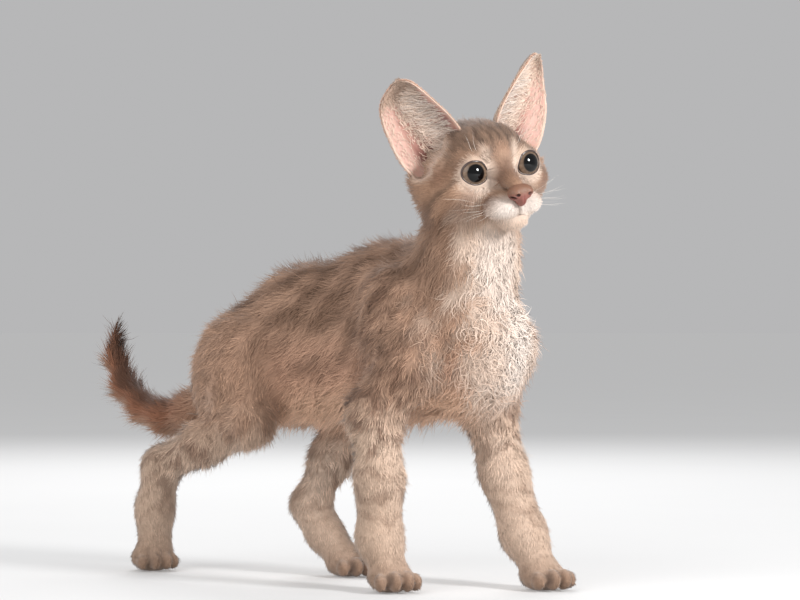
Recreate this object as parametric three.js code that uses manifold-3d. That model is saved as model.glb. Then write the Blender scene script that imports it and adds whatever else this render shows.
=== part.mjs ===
// A devon rex kitten about eleven weeks old, walking with its head turned, as a life-size still model.
// Millimetres. +X is forward along the body, +Y is the kitten's left, +Z is up, and the floor is Z 0.
import * as THREE from 'three';
import { mergeVertices } from 'three/addons/utils/BufferGeometryUtils.js';
import Module from 'manifold-3d';

const wasm = await Module();
wasm.setup();

// Driving sizes
const SEAM = 0.3; // clear gap between two neighbouring parts
const EYE_RADIUS = 9;
const EYE_SPACING = 33.5; // between the eyes' centres
const EYE_OPENING = [14.6, 13.2]; // width and height between the lids
const LID = 1.5; // how thick the lids stand over the eye
const EAR_THICKNESS = 1.8;
const COAT_DEPTH = 3.5; // from the core of a long-haired part to the coat's outline
const LOCK = { sides: 4, rings: 3, sink: 5, thick: 6 };
const FLOOR = 0;
const ORIGIN = [-91.2, -2.4, FLOOR]; // under the middle of the whole kitten

// Where the bones lie: each joint is [x, y, z], and an r is the radius of the coat there
const HEAD_CENTRE = [37, -6, 227.5];
const HEAD_TURN = [-23, 3, 11]; // yaw, pitch and roll in degrees
const NECK = [
  { at: [3, 3, 150], r: 34 },
  { at: [21, 1, 178], r: 30 },
  { at: [34, -5, 214], r: 27 },
];
const TAIL = [
  { at: [-158, 0, 106], r: 13 },
  { at: [-182, 0, 94], r: 12 },
  { at: [-204, 0, 89], r: 11 },
  { at: [-224, 0, 94], r: 10 },
  { at: [-240, 0, 106], r: 9 },
  { at: [-249, 0, 122], r: 7.5 },
  { at: [-250, 0, 140], r: 4.5 },
];
const TRUNK_LINE = [
  [-128, 1, 124],
  [-100, 4, 131],
  [-60, 5, 133],
  [-14, 4, 133],
  [14, 4, 131],
];
const LEGS = {
  front_right: {
    path: [[-14, -17, 160], [4, -25, 128], [-17, -30, 96], [-12, -33, 60], [-12, -33, 28], [-4, -33.5, 10]],
    radii: [10, 16, 17, 14, 12.5, 10],
    muscle: { at: [-8, -22, 138], half: [24, 16, 40], turn: [0, -14, 0] },
  },
  front_left: {
    path: [[0, 24, 162], [26, 29, 132], [12, 31, 100], [23, 31, 63], [37, 31, 29], [50, 29.5, 10]],
    radii: [10, 16, 17.5, 14, 12.5, 10],
    muscle: { at: [8, 28, 138], half: [24, 16, 40], turn: [0, -14, 0] },
  },
  hind_right: {
    path: [[-140, -15, 134], [-128, -24, 112], [-112, -28, 90], [-150, -27, 76], [-188, -22, 62], [-196, -20, 36], [-197, -19, 11]],
    radii: [14, 18, 16, 14, 12, 11, 11],
    muscle: { at: [-131, -20, 115], half: [33, 20, 35], turn: [0, 20, 0] },
  },
  hind_left: {
    path: [[-138, 17, 132], [-116, 24, 116], [-86, 28, 98], [-98, 26, 68], [-113, 24, 40], [-102, 24, 24], [-88, 24, 11]],
    radii: [14, 18, 16, 14, 12, 10.5, 10.5],
    muscle: { at: [-120, 20, 118], half: [38, 20, 33], turn: [0, 20, 0] },
  },
};

const DEGREE = Math.PI / 180;
const vec = ([x, y, z]) => new THREE.Vector3(x, y, z);

// Smooth solid shapes, each a function that is negative inside

/** An ellipsoid, given its centre, its half sizes, and its yaw, pitch and roll in degrees. */
function blob(at, half, turn = [0, 0, 0]) {
  const [yaw, pitch, roll] = turn.map((d) => d * DEGREE);
  const m = new THREE.Matrix4().makeRotationFromEuler(new THREE.Euler(roll, pitch, yaw, 'ZYX')).elements;
  return (x, y, z) => {
    const dx = x - at[0];
    const dy = y - at[1];
    const dz = z - at[2];
    const u = (dx * m[0] + dy * m[1] + dz * m[2]) / half[0];
    const v = (dx * m[4] + dy * m[5] + dz * m[6]) / half[1];
    const w = (dx * m[8] + dy * m[9] + dz * m[10]) / half[2];
    const near = Math.hypot(u, v, w);
    const slope = Math.hypot(u / half[0], v / half[1], w / half[2]);
    return slope > 0 ? (near * (near - 1)) / slope : -Math.min(...half);
  };
}

/** A straight length between two joints whose radius changes evenly. */
function bone(a, b, ra, rb) {
  const dx = b[0] - a[0];
  const dy = b[1] - a[1];
  const dz = b[2] - a[2];
  const length2 = dx * dx + dy * dy + dz * dz;
  return (x, y, z) => {
    const px = x - a[0];
    const py = y - a[1];
    const pz = z - a[2];
    const t = Math.min(1, Math.max(0, (px * dx + py * dy + pz * dz) / length2));
    return Math.hypot(px - dx * t, py - dy * t, pz - dz * t) - ra - (rb - ra) * t;
  };
}

const soften = (a, b, k) => Math.min(a, b) - (Math.max(k - Math.abs(a - b), 0) ** 2) / (4 * k);

/** Several shapes melted into one; k is how wide the fillet between them is. */
const melt = (k, shapes) => (x, y, z) => shapes.reduce((d, shape) => soften(d, shape(x, y, z), k), 1e6);

/** A chain of bones through a list of joints. */
function chain(joints, radii, k = 6) {
  const bones = joints.slice(1).map((joint, i) => bone(joints[i], joint, radii[i], radii[i + 1]));
  return melt(k, bones);
}

// The body's coat surface

const trunk = melt(16, [
  blob([-20, 4, 137], [66, 35, 49], [0, -4, 0]), // ribcage
  blob([24, 5, 129], [33, 34, 38], [-8, 20, 0]), // breast
  blob([-34, 4, 168], [50, 21, 26], [0, -2, 0]), // withers
  blob([-86, 5, 130], [56, 33, 44], [0, 0, 0]), // belly
  blob([-100, 4, 147], [46, 26, 34], [0, -14, 0]), // loin
  blob([-132, 2, 122], [31, 29, 37], [0, -30, 0]), // croup
]);
const neck = chain(NECK.map((n) => n.at), NECK.map((n) => n.r), 10);

/** A shape moved into the head's own frame: x to the nose, y to the left ear, z to the crown. */
const headFrame = new THREE.Matrix4().makeRotationFromEuler(
  new THREE.Euler(HEAD_TURN[2] * DEGREE, HEAD_TURN[1] * DEGREE, HEAD_TURN[0] * DEGREE, 'ZYX'),
);
headFrame.setPosition(vec(HEAD_CENTRE));
const toHead = headFrame.clone().invert().elements;
const onHead = (shape) => (x, y, z) =>
  shape(
    toHead[0] * x + toHead[4] * y + toHead[8] * z + toHead[12],
    toHead[1] * x + toHead[5] * y + toHead[9] * z + toHead[13],
    toHead[2] * x + toHead[6] * y + toHead[10] * z + toHead[14],
  );
const both = (make) => [make(1), make(-1)];

const EYE_AT = (s) => [14, (s * EYE_SPACING) / 2, 0];
const face = melt(5, [
  melt(12, [
    blob([-8, 0, 6], [30, 27, 22]), // cranium
    blob([10, 0, 10], [15, 17, 11.5], [0, 12, 0]), // brow
    ...both((s) => blob([2, 22 * s, -9], [20, 14.5, 14], [-8 * s, 0, 0])), // cheeks
    ...both((s) => blob([-8, 28 * s, 3], [14, 13, 15])), // ears' roots
    ...both((s) => blob([-8, 22 * s, -15], [15, 13, 13])), // ruff
    blob([10, 0, -19], [20, 15, 13]), // jaw
  ]),
  bone([14, 0, 5], [35, 0, -9.5], 8, 5.5), // bridge of the nose
  ...both((s) => blob([28, 9.5 * s, -19.5], [10, 9, 7.4], [26 * s, 8, 0])), // whisker pads
  blob([29.5, 0, -28.5], [7.5, 8, 6]), // chin
  ...both((s) => blob(EYE_AT(s), [1, 1, 1].map((one) => one * (EYE_RADIUS + LID)))), // lids
]);
const head = onHead(face);

// Wrapping: a plain three.js solid pulled onto a shape

/** How far the shape's surface is from a point inside it along a direction. */
function reachOf(shape, from, along, most) {
  const at = (s) => shape(from.x + along.x * s, from.y + along.y * s, from.z + along.z * s);
  let far = 0.5;
  while (far < most && at(far) < 0) far += Math.max(0.5, -at(far) * 0.7);
  let low = Math.max(0, far - 6);
  if (far >= most) return most;
  while (at(low) > 0 && low > 0) low = Math.max(0, low - 3);
  for (let i = 0; i < 24; i++) {
    const mid = (low + far) / 2;
    if (at(mid) < 0) low = mid;
    else far = mid;
  }
  return (low + far) / 2;
}

/** Replaces every vertex of a geometry by place(vertex), and welds it into a closed indexed mesh. */
function remade(geometry, place) {
  const bare = geometry.clone();
  ['normal', 'uv'].forEach((name) => bare.deleteAttribute(name));
  const welded = mergeVertices(bare, 1e-4);
  const position = welded.attributes.position;
  const point = new THREE.Vector3();
  for (let i = 0; i < position.count; i++) {
    point.fromBufferAttribute(position, i);
    const moved = place(point);
    position.setXYZ(i, moved.x, moved.y, moved.z);
  }
  return welded;
}

/** A ball around a centre pulled onto a shape. Its poles lie along the axis, where it is densest. */
function wrapBall({ centre, axis, around, along, most, shape }) {
  const turn = new THREE.Quaternion().setFromUnitVectors(new THREE.Vector3(0, 1, 0), vec(axis).normalize());
  const middle = vec(centre);
  return remade(new THREE.SphereGeometry(1, around, along), (point) => {
    const direction = point.clone().normalize().applyQuaternion(turn);
    return middle.clone().addScaledVector(direction, reachOf(shape, middle, direction, most));
  });
}

/** The direction of a curve, averaged over a stretch so that a sharp bend doesn't fold the rings into each other. */
const easedTangent = (curve, t, ease) => {
  const ahead = curve.getPointAt(Math.min(1, t + ease));
  return ahead.sub(curve.getPointAt(Math.max(0, t - ease))).normalize();
};

/**
 * A tube along part of a curve, pulled onto a shape. An end with round rings closes over in a pole past the
 * curve's own end; an end without them is flat. A cut end stops half a seam short, unless the tube is made fatter.
 */
function wrapTube({
  curve,
  from = 0,
  to = 1,
  sides,
  rings,
  shape,
  most = 90,
  tailEnd = 0,
  noseEnd = 0,
  up = [0, 0, 1],
  ease = 0.12,
  fatter = 0,
}) {
  const gap = (SEAM / 2 - fatter * 0.9) / curve.getLength();
  const start = from > 0 ? from + gap : from;
  const end = to < 1 ? to - gap : to;
  const steps = tailEnd + rings + noseEnd;
  const upward = vec(up);
  return remade(new THREE.CylinderGeometry(1, 1, steps, sides, steps), (point) => {
    const step = Math.round(point.y + steps / 2) - tailEnd;
    const t = start + ((end - start) * Math.min(rings, Math.max(0, step))) / rings;
    const centre = curve.getPointAt(t);
    const tangent = easedTangent(curve, t, ease);
    const past = step < 0 ? step / tailEnd : noseEnd && step > rings ? (step - rings) / noseEnd : 0;
    const onAxis = Math.hypot(point.x, point.z) < 0.5;
    if (onAxis && Math.abs(past) < 1) return centre;
    if (onAxis) {
      tangent.multiplyScalar(past);
      return centre.addScaledVector(tangent, reachOf(shape, centre, tangent, most));
    }
    const side = new THREE.Vector3().crossVectors(upward, tangent).normalize();
    const top = new THREE.Vector3().crossVectors(tangent, side);
    const lean = Math.sign(past) * Math.min(Math.abs(past) * 90, 85) * DEGREE;
    const direction = side.multiplyScalar(point.x).addScaledVector(top, point.z).normalize();
    direction.multiplyScalar(Math.cos(lean)).addScaledVector(tangent, Math.sin(lean));
    return centre.addScaledVector(direction, reachOf(shape, centre, direction, most));
  });
}

// Joining and cutting closed meshes

/** A closed geometry as a solid that can be joined and cut, whichever way its faces were wound. */
function solid(geometry) {
  const bare = geometry.clone();
  Object.keys(bare.attributes)
    .filter((name) => name !== 'position')
    .forEach((name) => bare.deleteAttribute(name));
  const welded = mergeVertices(bare, 1e-4);
  const vertProperties = new Float32Array(welded.attributes.position.array);
  const triVerts = new Uint32Array(welded.index.array);
  const made = new wasm.Manifold(new wasm.Mesh({ numProp: 3, vertProperties, triVerts }));
  if (made.volume() > 0) return made;
  for (let i = 0; i < triVerts.length; i += 3) {
    [triVerts[i + 1], triVerts[i + 2]] = [triVerts[i + 2], triVerts[i + 1]];
  }
  return new wasm.Manifold(new wasm.Mesh({ numProp: 3, vertProperties, triVerts }));
}

const join = (...solids) => solids.reduce((all, one) => all.add(one));

/** The largest closed piece of a solid. */
const largest = (made) => made.decompose().reduce((best, one) => (one.volume() > best.volume() ? one : best));

/** Everything below the floor, and everything on one side of a plane, as blocks to cut with. */
function blockBeyond(point, normal, size = 400) {
  const block = new THREE.BoxGeometry(size, size, size);
  block.translate(0, 0, size / 2);
  const turn = new THREE.Quaternion().setFromUnitVectors(new THREE.Vector3(0, 0, 1), vec(normal).normalize());
  block.applyQuaternion(turn);
  block.translate(...point);
  return solid(block);
}

function geometryOf(made) {
  const mesh = made.getMesh();
  const geometry = new THREE.BufferGeometry();
  geometry.setAttribute('position', new THREE.BufferAttribute(mesh.vertProperties, 3));
  geometry.setIndex(new THREE.BufferAttribute(mesh.triVerts, 1));
  return geometry;
}

/** A named mesh of the largest closed piece, with its slivers welded away. */
function meshOf(name, made, material) {
  const welded = solid(mergeVertices(geometryOf(largest(made)), 2e-3));
  const geometry = geometryOf(largest(welded));
  geometry.computeVertexNormals();
  const part = new THREE.Mesh(geometry, material);
  part.name = name;
  return part;
}

// Materials

const finish = (color, roughness) => new THREE.MeshStandardMaterial({ color, roughness, metalness: 0 });
const COAT = finish(0xb29684, 0.9);
const PALE_COAT = finish(0xd9c3b4, 0.9);
const EAR_SKIN = finish(0xd8b3a8, 0.7);
const NOSE_SKIN = finish(0xb4685c, 0.5);
const EYE = finish(0x8d8467, 0.1);

// Locks of hair

/** Numbers from 0 to 1 that come out the same on every run. */
function seeded(seed) {
  let state = seed;
  return () => {
    state = (state * 16807) % 2147483647;
    return state / 2147483647;
  };
}

/** The direction straight out of a shape at a point. */
function outward(shape, p) {
  const h = 0.4;
  const dx = shape(p.x + h, p.y, p.z) - shape(p.x - h, p.y, p.z);
  const dy = shape(p.x, p.y + h, p.z) - shape(p.x, p.y - h, p.z);
  const dz = shape(p.x, p.y, p.z + h) - shape(p.x, p.y, p.z - h);
  return new THREE.Vector3(dx, dy, dz).normalize();
}

/** Moves a point straight in or out until it lies on the shape. */
function onto(shape, point) {
  for (let i = 0; i < 4; i++) point.addScaledVector(outward(shape, point), -shape(point.x, point.y, point.z));
  return point;
}

/** The middle line of a lock that starts under the surface, follows it, and lifts off it towards the tip. */
function lockLine(shape, { root, comb, length, width, thick, sink, lift, curl, droop }) {
  const at = onto(shape, root.clone());
  const line = [];
  for (let i = 0; i <= LOCK.rings; i++) {
    const t = i / LOCK.rings;
    const normal = outward(shape, at);
    const along = comb.clone().addScaledVector(normal, -comb.dot(normal)).normalize();
    const side = new THREE.Vector3().crossVectors(normal, along);
    const sunk = -sink * Math.max(0, 1 - t / 0.35) ** 1.5;
    const height = sunk + thick * 0.3 + lift * t * t;
    const sway = curl * Math.sin(t * 2 * Math.PI);
    const centre = at.clone().addScaledVector(normal, height).addScaledVector(side, sway);
    centre.z -= droop * t * t;
    const full = Math.sin((0.2 + 0.8 * t) * Math.PI) ** 0.7;
    line.push({ centre, normal, side, along, half: [(full * width) / 2, (full * thick) / 2] });
    onto(shape, at.addScaledVector(along, length / LOCK.rings));
  }
  return line;
}

/** A flat, tapered, bending lock as a solid; by makes it that much bigger all round, to cut its neighbours with. */
function lockSolid(line, by) {
  const cone = new THREE.ConeGeometry(1, 1, LOCK.sides, LOCK.rings);
  return solid(
    remade(cone, (p) => {
      const { centre, normal, side, along, half } = line[Math.round((p.y + 0.5) * LOCK.rings)];
      const onAxis = Math.hypot(p.x, p.z) < 1e-6;
      const place = centre.clone();
      if (onAxis) return place.addScaledVector(along, p.y > 0 ? by * 2 : -by);
      const angle = Math.atan2(p.z, p.x);
      place.addScaledVector(side, Math.cos(angle) * (half[0] + by));
      return place.addScaledVector(normal, Math.sin(angle) * (half[1] + by));
    }),
  );
}

/**
 * Locks in rows along a curve and around it. The arc is in degrees from the top of the curve, positive to the
 * kitten's left. comb gives the lie of the coat for a place on the curve and an angle around it.
 */
function combed(shape, rows) {
  const { curve, up, from, to, around, arc, comb, size, lift, droop = 0, keep = () => true } = rows;
  const { thick = LOCK.thick, sink = LOCK.sink } = rows;
  const random = seeded(rows.seed);
  const upward = vec(up);
  const lines = [];
  for (let row = 0; row < rows.count; row++) {
    for (let k = 0; k < around; k++) {
      const t = from + ((to - from) * (row + 0.5 + (random() - 0.5) * 0.35)) / rows.count;
      const share = (k + 0.5 + (row % 2 ? 0.5 : 0) + (random() - 0.5) * 0.4) / (around + 0.5);
      const angle = arc[0] + (arc[1] - arc[0]) * share;
      const centre = curve.getPointAt(t);
      const tangent = curve.getTangentAt(t);
      const side = new THREE.Vector3().crossVectors(upward, tangent).normalize();
      const top = new THREE.Vector3().crossVectors(tangent, side);
      const out = top.multiplyScalar(Math.cos(angle * DEGREE)).addScaledVector(side, Math.sin(angle * DEGREE));
      const root = centre.addScaledVector(out, reachOf(shape, centre, out, 90));
      const vary = 0.85 + random() * 0.3;
      const lock = {
        root,
        comb: comb(tangent, out, angle).normalize(),
        length: size[0] * vary,
        width: size[1] * (0.9 + random() * 0.2),
        lift: lift * (0.6 + random() * 0.8),
        curl: (random() < 0.5 ? -1 : 1) * (1.5 + random() * 2),
        thick,
        sink,
        droop,
      };
      if (keep(root)) lines.push(lockLine(shape, lock));
    }
  }
  return lines;
}

// Parts

const kitten = new THREE.Group();
const add = (name, made, material) => kitten.add(meshOf(name, made, material));
const floor = blockBeyond([0, 0, FLOOR], [0, 0, -1], 900);

const grown = (shape, by) => (x, y, z) => shape(x, y, z) - by;

/** A limb's own shape, which flares where it meets the trunk but no further than a limit. */
const flared = (own, limit, k) => {
  const blended = melt(k, [own, trunk]);
  return (x, y, z) => Math.max(blended(x, y, z), own(x, y, z) - limit);
};

const trunkCurve = new THREE.CatmullRomCurve3(TRUNK_LINE.map(vec));
const neckCurve = new THREE.CatmullRomCurve3(NECK.map((n) => vec(n.at)));
const tailCurve = new THREE.CatmullRomCurve3(TAIL.map((n) => vec(n.at)));
const HEAD_CUT = 0.9;

const torsoCore = grown(trunk, -COAT_DEPTH);
const neckCore = grown(flared(neck, 6, 14), -COAT_DEPTH);
const tailOwn = chain(TAIL.map((n) => n.at), TAIL.map((n) => n.r), 6);
const tailCore = grown(flared(tailOwn, 4, 10), -COAT_DEPTH * 0.75);

const torsoTube = (by) =>
  solid(
    wrapTube({
      curve: trunkCurve,
      sides: 22,
      rings: 11,
      tailEnd: 3,
      noseEnd: 3,
      shape: grown(torsoCore, by),
      fatter: by,
    }),
  );

const neckTube = (by) =>
  solid(
    wrapTube({
      curve: neckCurve,
      to: HEAD_CUT,
      sides: 18,
      rings: 6,
      shape: grown(neckCore, by),
      fatter: by,
      up: [1, 0, 0],
    }),
  );

/** One of the tail's three lengths. */
const tailTube = (from, to, rings, by) =>
  solid(
    wrapTube({
      curve: tailCurve,
      from,
      to,
      sides: 10,
      rings,
      noseEnd: to < 1 ? 0 : 3,
      shape: grown(tailCore, by),
      fatter: by,
      up: [0, 1, 0],
      most: 60,
    }),
  );
const TAIL_LENGTHS = [
  { name: 'tail_base', from: 0, to: 0.42, rings: 7 },
  { name: 'tail_middle', from: 0.42, to: 0.7, rings: 4 },
  { name: 'tail_tip', from: 0.7, to: 1, rings: 4 },
];

/** The pieces of a leg: between which shares of its path each lies, and which of its bones shape it. */
const HIND_PIECES = [
  { part: 'thigh', cuts: [0, 0.36], bones: [0, 3], sides: 14, rings: 7 },
  { part: 'shank', cuts: [0.36, 0.72], bones: [2, 5], sides: 12, rings: 6 },
  { part: 'foot', cuts: [0.72, 0.93], bones: [3, 6], sides: 12, rings: 5 },
];
const FRONT_PIECES = [
  { part: 'upper_arm', cuts: [0, 0.46], bones: [0, 3], sides: 14, rings: 7 },
  { part: 'forearm', cuts: [0.46, 0.86], bones: [2, 5], sides: 12, rings: 7 },
];

/** A leg's pieces as raw tubes, the first one with the muscle over it and a core for its longer coat. */
function legPieces(name, leg) {
  const curve = new THREE.CatmullRomCurve3(leg.path.map(vec));
  const pieces = name.startsWith('hind') ? HIND_PIECES : FRONT_PIECES;
  return pieces.map(({ part, cuts, bones, sides, rings }, i) => {
    const own = chain(leg.path.slice(bones[0], bones[1] + 1), leg.radii.slice(bones[0], bones[1] + 1), 10);
    const { at, half, turn } = leg.muscle;
    const shape = i === 0 ? grown(flared(melt(10, [own, blob(at, half, turn)]), 5, 12), -COAT_DEPTH * 0.8) : own;
    const [from, to] = cuts;
    const tube = (by) =>
      solid(wrapTube({ curve, from, to, sides, rings, shape: grown(shape, by), fatter: by, up: [1, 0, 0] }));
    return { name: `${part}_${name}`, shape, curve, raw: tube(0), fat: tube(SEAM) };
  });
}

/** Moves a point or a geometry from the head's own frame into the kitten's. */
const placed = (geometry) => geometry.clone().applyMatrix4(headFrame);

/** A plain ball, its half sizes and turn set like a blob's. */
function ball(at, half, turn = [0, 0, 0], around = 16, along = 12) {
  const [yaw, pitch, roll] = turn.map((d) => d * DEGREE);
  const geometry = new THREE.SphereGeometry(1, around, along);
  geometry.scale(...half);
  geometry.applyMatrix4(new THREE.Matrix4().makeRotationFromEuler(new THREE.Euler(roll, pitch, yaw, 'ZYX')));
  return geometry.translate(...at);
}

/**
 * An ear: a cupped sheet between an inner and an outer edge, deepest at its root. Points are in the head's frame
 * for the left ear; side mirrors them.
 */
function earSheet(side, ear) {
  const mirror = ([x, y, z]) => new THREE.Vector3(x, y * side, z);
  const inner = new THREE.CatmullRomCurve3(ear.inner.map(mirror));
  const outer = new THREE.CatmullRomCurve3(ear.outer.map(mirror));
  const back = mirror(ear.back).normalize();
  const sheet = (s, t, lift) => {
    const bow = Math.sqrt(Math.max(0, 1 - s * s * 0.92)) - Math.sqrt(0.08);
    const depth = ear.depth * (1 - t) ** 0.6 * (0.55 + 0.45 * Math.min(1, t * 5)) + ear.tipDepth;
    const point = inner.getPoint(t).lerp(outer.getPoint(t), (s + 1) / 2);
    const out = back.clone().multiplyScalar(bow * depth);
    const slant = outer.getPoint(t).sub(inner.getPoint(t)).normalize();
    const normal = back.clone().addScaledVector(slant, s * 0.9).normalize();
    return point.add(out).addScaledVector(normal, lift);
  };
  const geometry = remade(new THREE.BoxGeometry(2, 1, 1, 9, 10, 1), (point) =>
    sheet(point.x, point.y + 0.5, point.z * EAR_THICKNESS * (1.15 - 0.35 * (point.y + 0.5))),
  );
  return placed(geometry);
}

const EARS = {
  right: {
    inner: [[4, 8, 16], [4, 15, 29], [6, 27, 42], [6, 36, 51], [4, 41.5, 55]],
    outer: [[-8, 26, -12], [-8, 43, 0], [-9, 51, 21], [-8, 52.5, 39], [1, 47, 52.5]],
    back: [-0.92, -0.29, 0.26],
    depth: 15,
    tipDepth: 1.5,
  },
  left: {
    inner: [[4, 8, 16], [4, 14, 29], [6, 24.5, 43], [6, 33, 52], [5, 39.5, 57]],
    outer: [[-6, 24, -8], [-6, 38, 4], [-8, 50, 24], [-6, 51.5, 42], [3, 46, 56]],
    back: [-0.92, -0.29, 0.26],
    depth: 15,
    tipDepth: 1.5,
  },
};

/** A groove's cutter: a thin round bar along a curve that rides on the head. */
function bar(points, radius, steps) {
  const ring = new THREE.Shape().absarc(0, 0, radius, 0, 2 * Math.PI, false);
  const extrudePath = new THREE.CatmullRomCurve3(points.map(vec));
  return placed(new THREE.ExtrudeGeometry(ring, { steps, curveSegments: 3, bevelEnabled: false, extrudePath }));
}

const noseShape = melt(3, [
  ...both((s) => blob([38.2, 3.6 * s, -12.8], [4.6, 3.4, 3.6])), // nostrils' wings
  blob([37.6, 0, -11.5], [4.6, 4.6, 4]),
  blob([37.4, 0, -16.4], [4.4, 2.3, 3.8]),
]);

const noseBall = (by) =>
  placed(
    wrapBall({
      centre: [37.5, 0, -13.4],
      axis: [1, 0, 0],
      around: 12,
      along: 8,
      most: 20,
      shape: grown(noseShape, by),
    }),
  );

function headBall(by) {
  const from = new THREE.Vector3(8, 0, -8).applyMatrix4(headFrame);
  const towards = new THREE.Vector3(1, 0, -0.25).transformDirection(headFrame);
  const wrapped = wrapBall({
    centre: from.toArray(),
    axis: towards.toArray(),
    around: 28,
    along: 22,
    most: 70,
    shape: grown(melt(8, [head, neck]), by),
  });
  const at = neckCurve.getPointAt(HEAD_CUT);
  const tangent = easedTangent(neckCurve, HEAD_CUT, 0.12);
  at.addScaledVector(tangent, SEAM / 2);
  return solid(wrapped).subtract(blockBeyond(at.toArray(), tangent.clone().negate().toArray()));
}

/** The head with its eyes, ears, nose and mouth; returns the head itself, uncovered by its locks. */
function buildHead() {
  let skull = headBall(0);
  const fatHead = headBall(SEAM);
  both((s) => s).forEach((s) => {
    const side = s > 0 ? 'left' : 'right';
    const socket = ball(EYE_AT(s), [1, 1, 1].map((one) => one * (EYE_RADIUS + SEAM)), [0, 90, 0], 16, 8);
    const opening = new THREE.CylinderGeometry(1.12, 0.9, 12, 16);
    opening.rotateX(90 * DEGREE).rotateY(90 * DEGREE);
    opening.scale(1, EYE_OPENING[0] / 2, EYE_OPENING[1] / 2);
    opening.rotateX(-8 * s * DEGREE).rotateZ(9 * s * DEGREE);
    opening.translate(EYE_AT(s)[0] + 9, EYE_AT(s)[1] + s, EYE_AT(s)[2]);
    skull = skull.subtract(solid(placed(socket))).subtract(solid(placed(opening)));
    const eyeball = ball(EYE_AT(s), [1, 1, 1].map((one) => one * EYE_RADIUS), [0, 90, 0], 16, 8);
    add(`eye_${side}`, solid(placed(eyeball)), EYE);
  });
  const lips = [[38.8, 0, -18], [38.6, 0, -23.4], [35.5, 6, -26], [29, 13, -26.5], [21, 17, -24]];
  const mouth = both((s) => solid(bar(lips.slice(1).map(([x, y, z]) => [x, y * s, z]), 0.9, 7)));
  const philtrum = solid(bar(lips.slice(0, 2), 0.8, 2));
  skull = skull.subtract(join(...mouth, philtrum)).subtract(solid(noseBall(SEAM)));
  const nostrils = both((s) => solid(placed(ball([41.6, 4.6 * s, -13.6], [2.2, 1.5, 1.1], [30 * s, 0, 25 * s], 8, 6))));
  add('nose', solid(noseBall(0)).subtract(join(...nostrils)), NOSE_SKIN);
  return { name: 'head', core: skull, raw: headBall(0), fat: fatHead, shape: melt(8, [head, neck]) };
}

const PAWS = {
  front_right: { at: [-4, -33.5], yaw: -24, size: 0.95, above: 0.86 },
  front_left: { at: [51, 29.3], yaw: -14, size: 0.95, above: 0.86 },
  hind_right: { at: [-200, -19], yaw: -20, size: 0.92, above: 0.93 },
  hind_left: { at: [-84, 24], yaw: -14, size: 0.92, above: 0.93 },
};

/** A paw: a pad with four toes in front, flat where it stands. */
function buildPaw(name, paw, leg) {
  const turn = new THREE.Matrix4().makeRotationZ(paw.yaw * DEGREE);
  const there = ([x, y, z]) => {
    const point = new THREE.Vector3(x * paw.size, y * paw.size, z * paw.size).applyMatrix4(turn);
    return [point.x + paw.at[0], point.y + paw.at[1], point.z];
  };
  const sized = (half) => half.map((one) => one * paw.size);
  const toes = [
    { at: [9, -10.5, 6.2], half: [7, 4.6, 6.4], turn: -10 },
    { at: [13.5, -3.8, 7], half: [7.5, 4.6, 7.2], turn: -3 },
    { at: [13.5, 3.8, 7], half: [7.5, 4.6, 7.2], turn: 3 },
    { at: [9, 10.5, 6.2], half: [7, 4.6, 6.4], turn: 10 },
  ];
  const shape = melt(3, [
    melt(8, [
      chain(leg.path.slice(-3), leg.radii.slice(-3), 8),
      blob(there([0, 0, 8]), sized([14, 13.5, 9]), [paw.yaw, 0, 0]),
    ]),
    ...toes.map((toe) => blob(there(toe.at), sized(toe.half), [paw.yaw + toe.turn, 0, 0])),
  ]);
  const wrapped = wrapBall({ centre: there([2, 0, 9]), axis: [0, 0, 1], around: 22, along: 10, most: 60, shape });
  const curve = new THREE.CatmullRomCurve3(leg.path.map(vec));
  const top = curve.getPointAt(paw.above);
  const tangent = easedTangent(curve, paw.above, 0.12);
  top.addScaledVector(tangent, SEAM / 2);
  const above = blockBeyond(top.toArray(), tangent.negate().toArray());
  return solid(wrapped).subtract(floor).subtract(above);
}

// Which parts there are, the first cutting its room out of those after it

const byName = {};
const bodyParts = [];
function part(name, raw, fat, shape, room) {
  const made = { name, raw, fat, shape, core: raw.subtract(room), lines: [] };
  byName[name] = made;
  bodyParts.push(made);
  return made;
}

part('torso', torsoTube(0), torsoTube(SEAM), torsoCore, floor);
part('neck', neckTube(0), neckTube(SEAM), neckCore, byName.torso.fat);
TAIL_LENGTHS.forEach(({ name, from, to, rings }) => {
  part(name, tailTube(from, to, rings, 0), tailTube(from, to, rings, SEAM), tailCore, byName.torso.fat);
});
const trunkRoom = join(...bodyParts.map((one) => one.fat), floor);
Object.entries(LEGS).forEach(([name, leg]) => {
  const left = name.endsWith('left') ? 1 : -1;
  let room = trunkRoom.add(blockBeyond([0, (left * SEAM) / 2 + 1, 0], [0, -left, 0], 600));
  legPieces(name, leg).forEach((piece) => {
    part(piece.name, piece.raw, piece.fat, piece.shape, room).curve = piece.curve;
    room = join(room, piece.raw, piece.fat);
  });
  add(`paw_${name}`, buildPaw(name, PAWS[name], leg), COAT);
});
const headPart = buildHead();
bodyParts.push(headPart);
byName.head = headPart;
headPart.lines = [];

// How the coat lies: back and down over the trunk, down the neck and legs, and out along the tail

const DOWN = new THREE.Vector3(0, 0, -1);
const BACK = new THREE.Vector3(-1, 0, 0);
const lie = (back, down) => () => BACK.clone().multiplyScalar(back).addScaledVector(DOWN, down);
const inside = (other, p, by = 0) => byName[other].shape(p.x, p.y, p.z) < by;
const underLimb = (p) =>
  inside('neck', p, -1) ||
  ['upper_arm_front_right', 'upper_arm_front_left', 'thigh_hind_right', 'thigh_hind_left'].some((n) => inside(n, p, -1));

const onLimb = (...names) => (p) => names.some((name) => inside(name, p, -1));
const onAnyLimb = onLimb(
  'neck',
  'upper_arm_front_right',
  'upper_arm_front_left',
  'thigh_hind_right',
  'thigh_hind_left',
);
const clear = (p) => !onAnyLimb(p);

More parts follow.
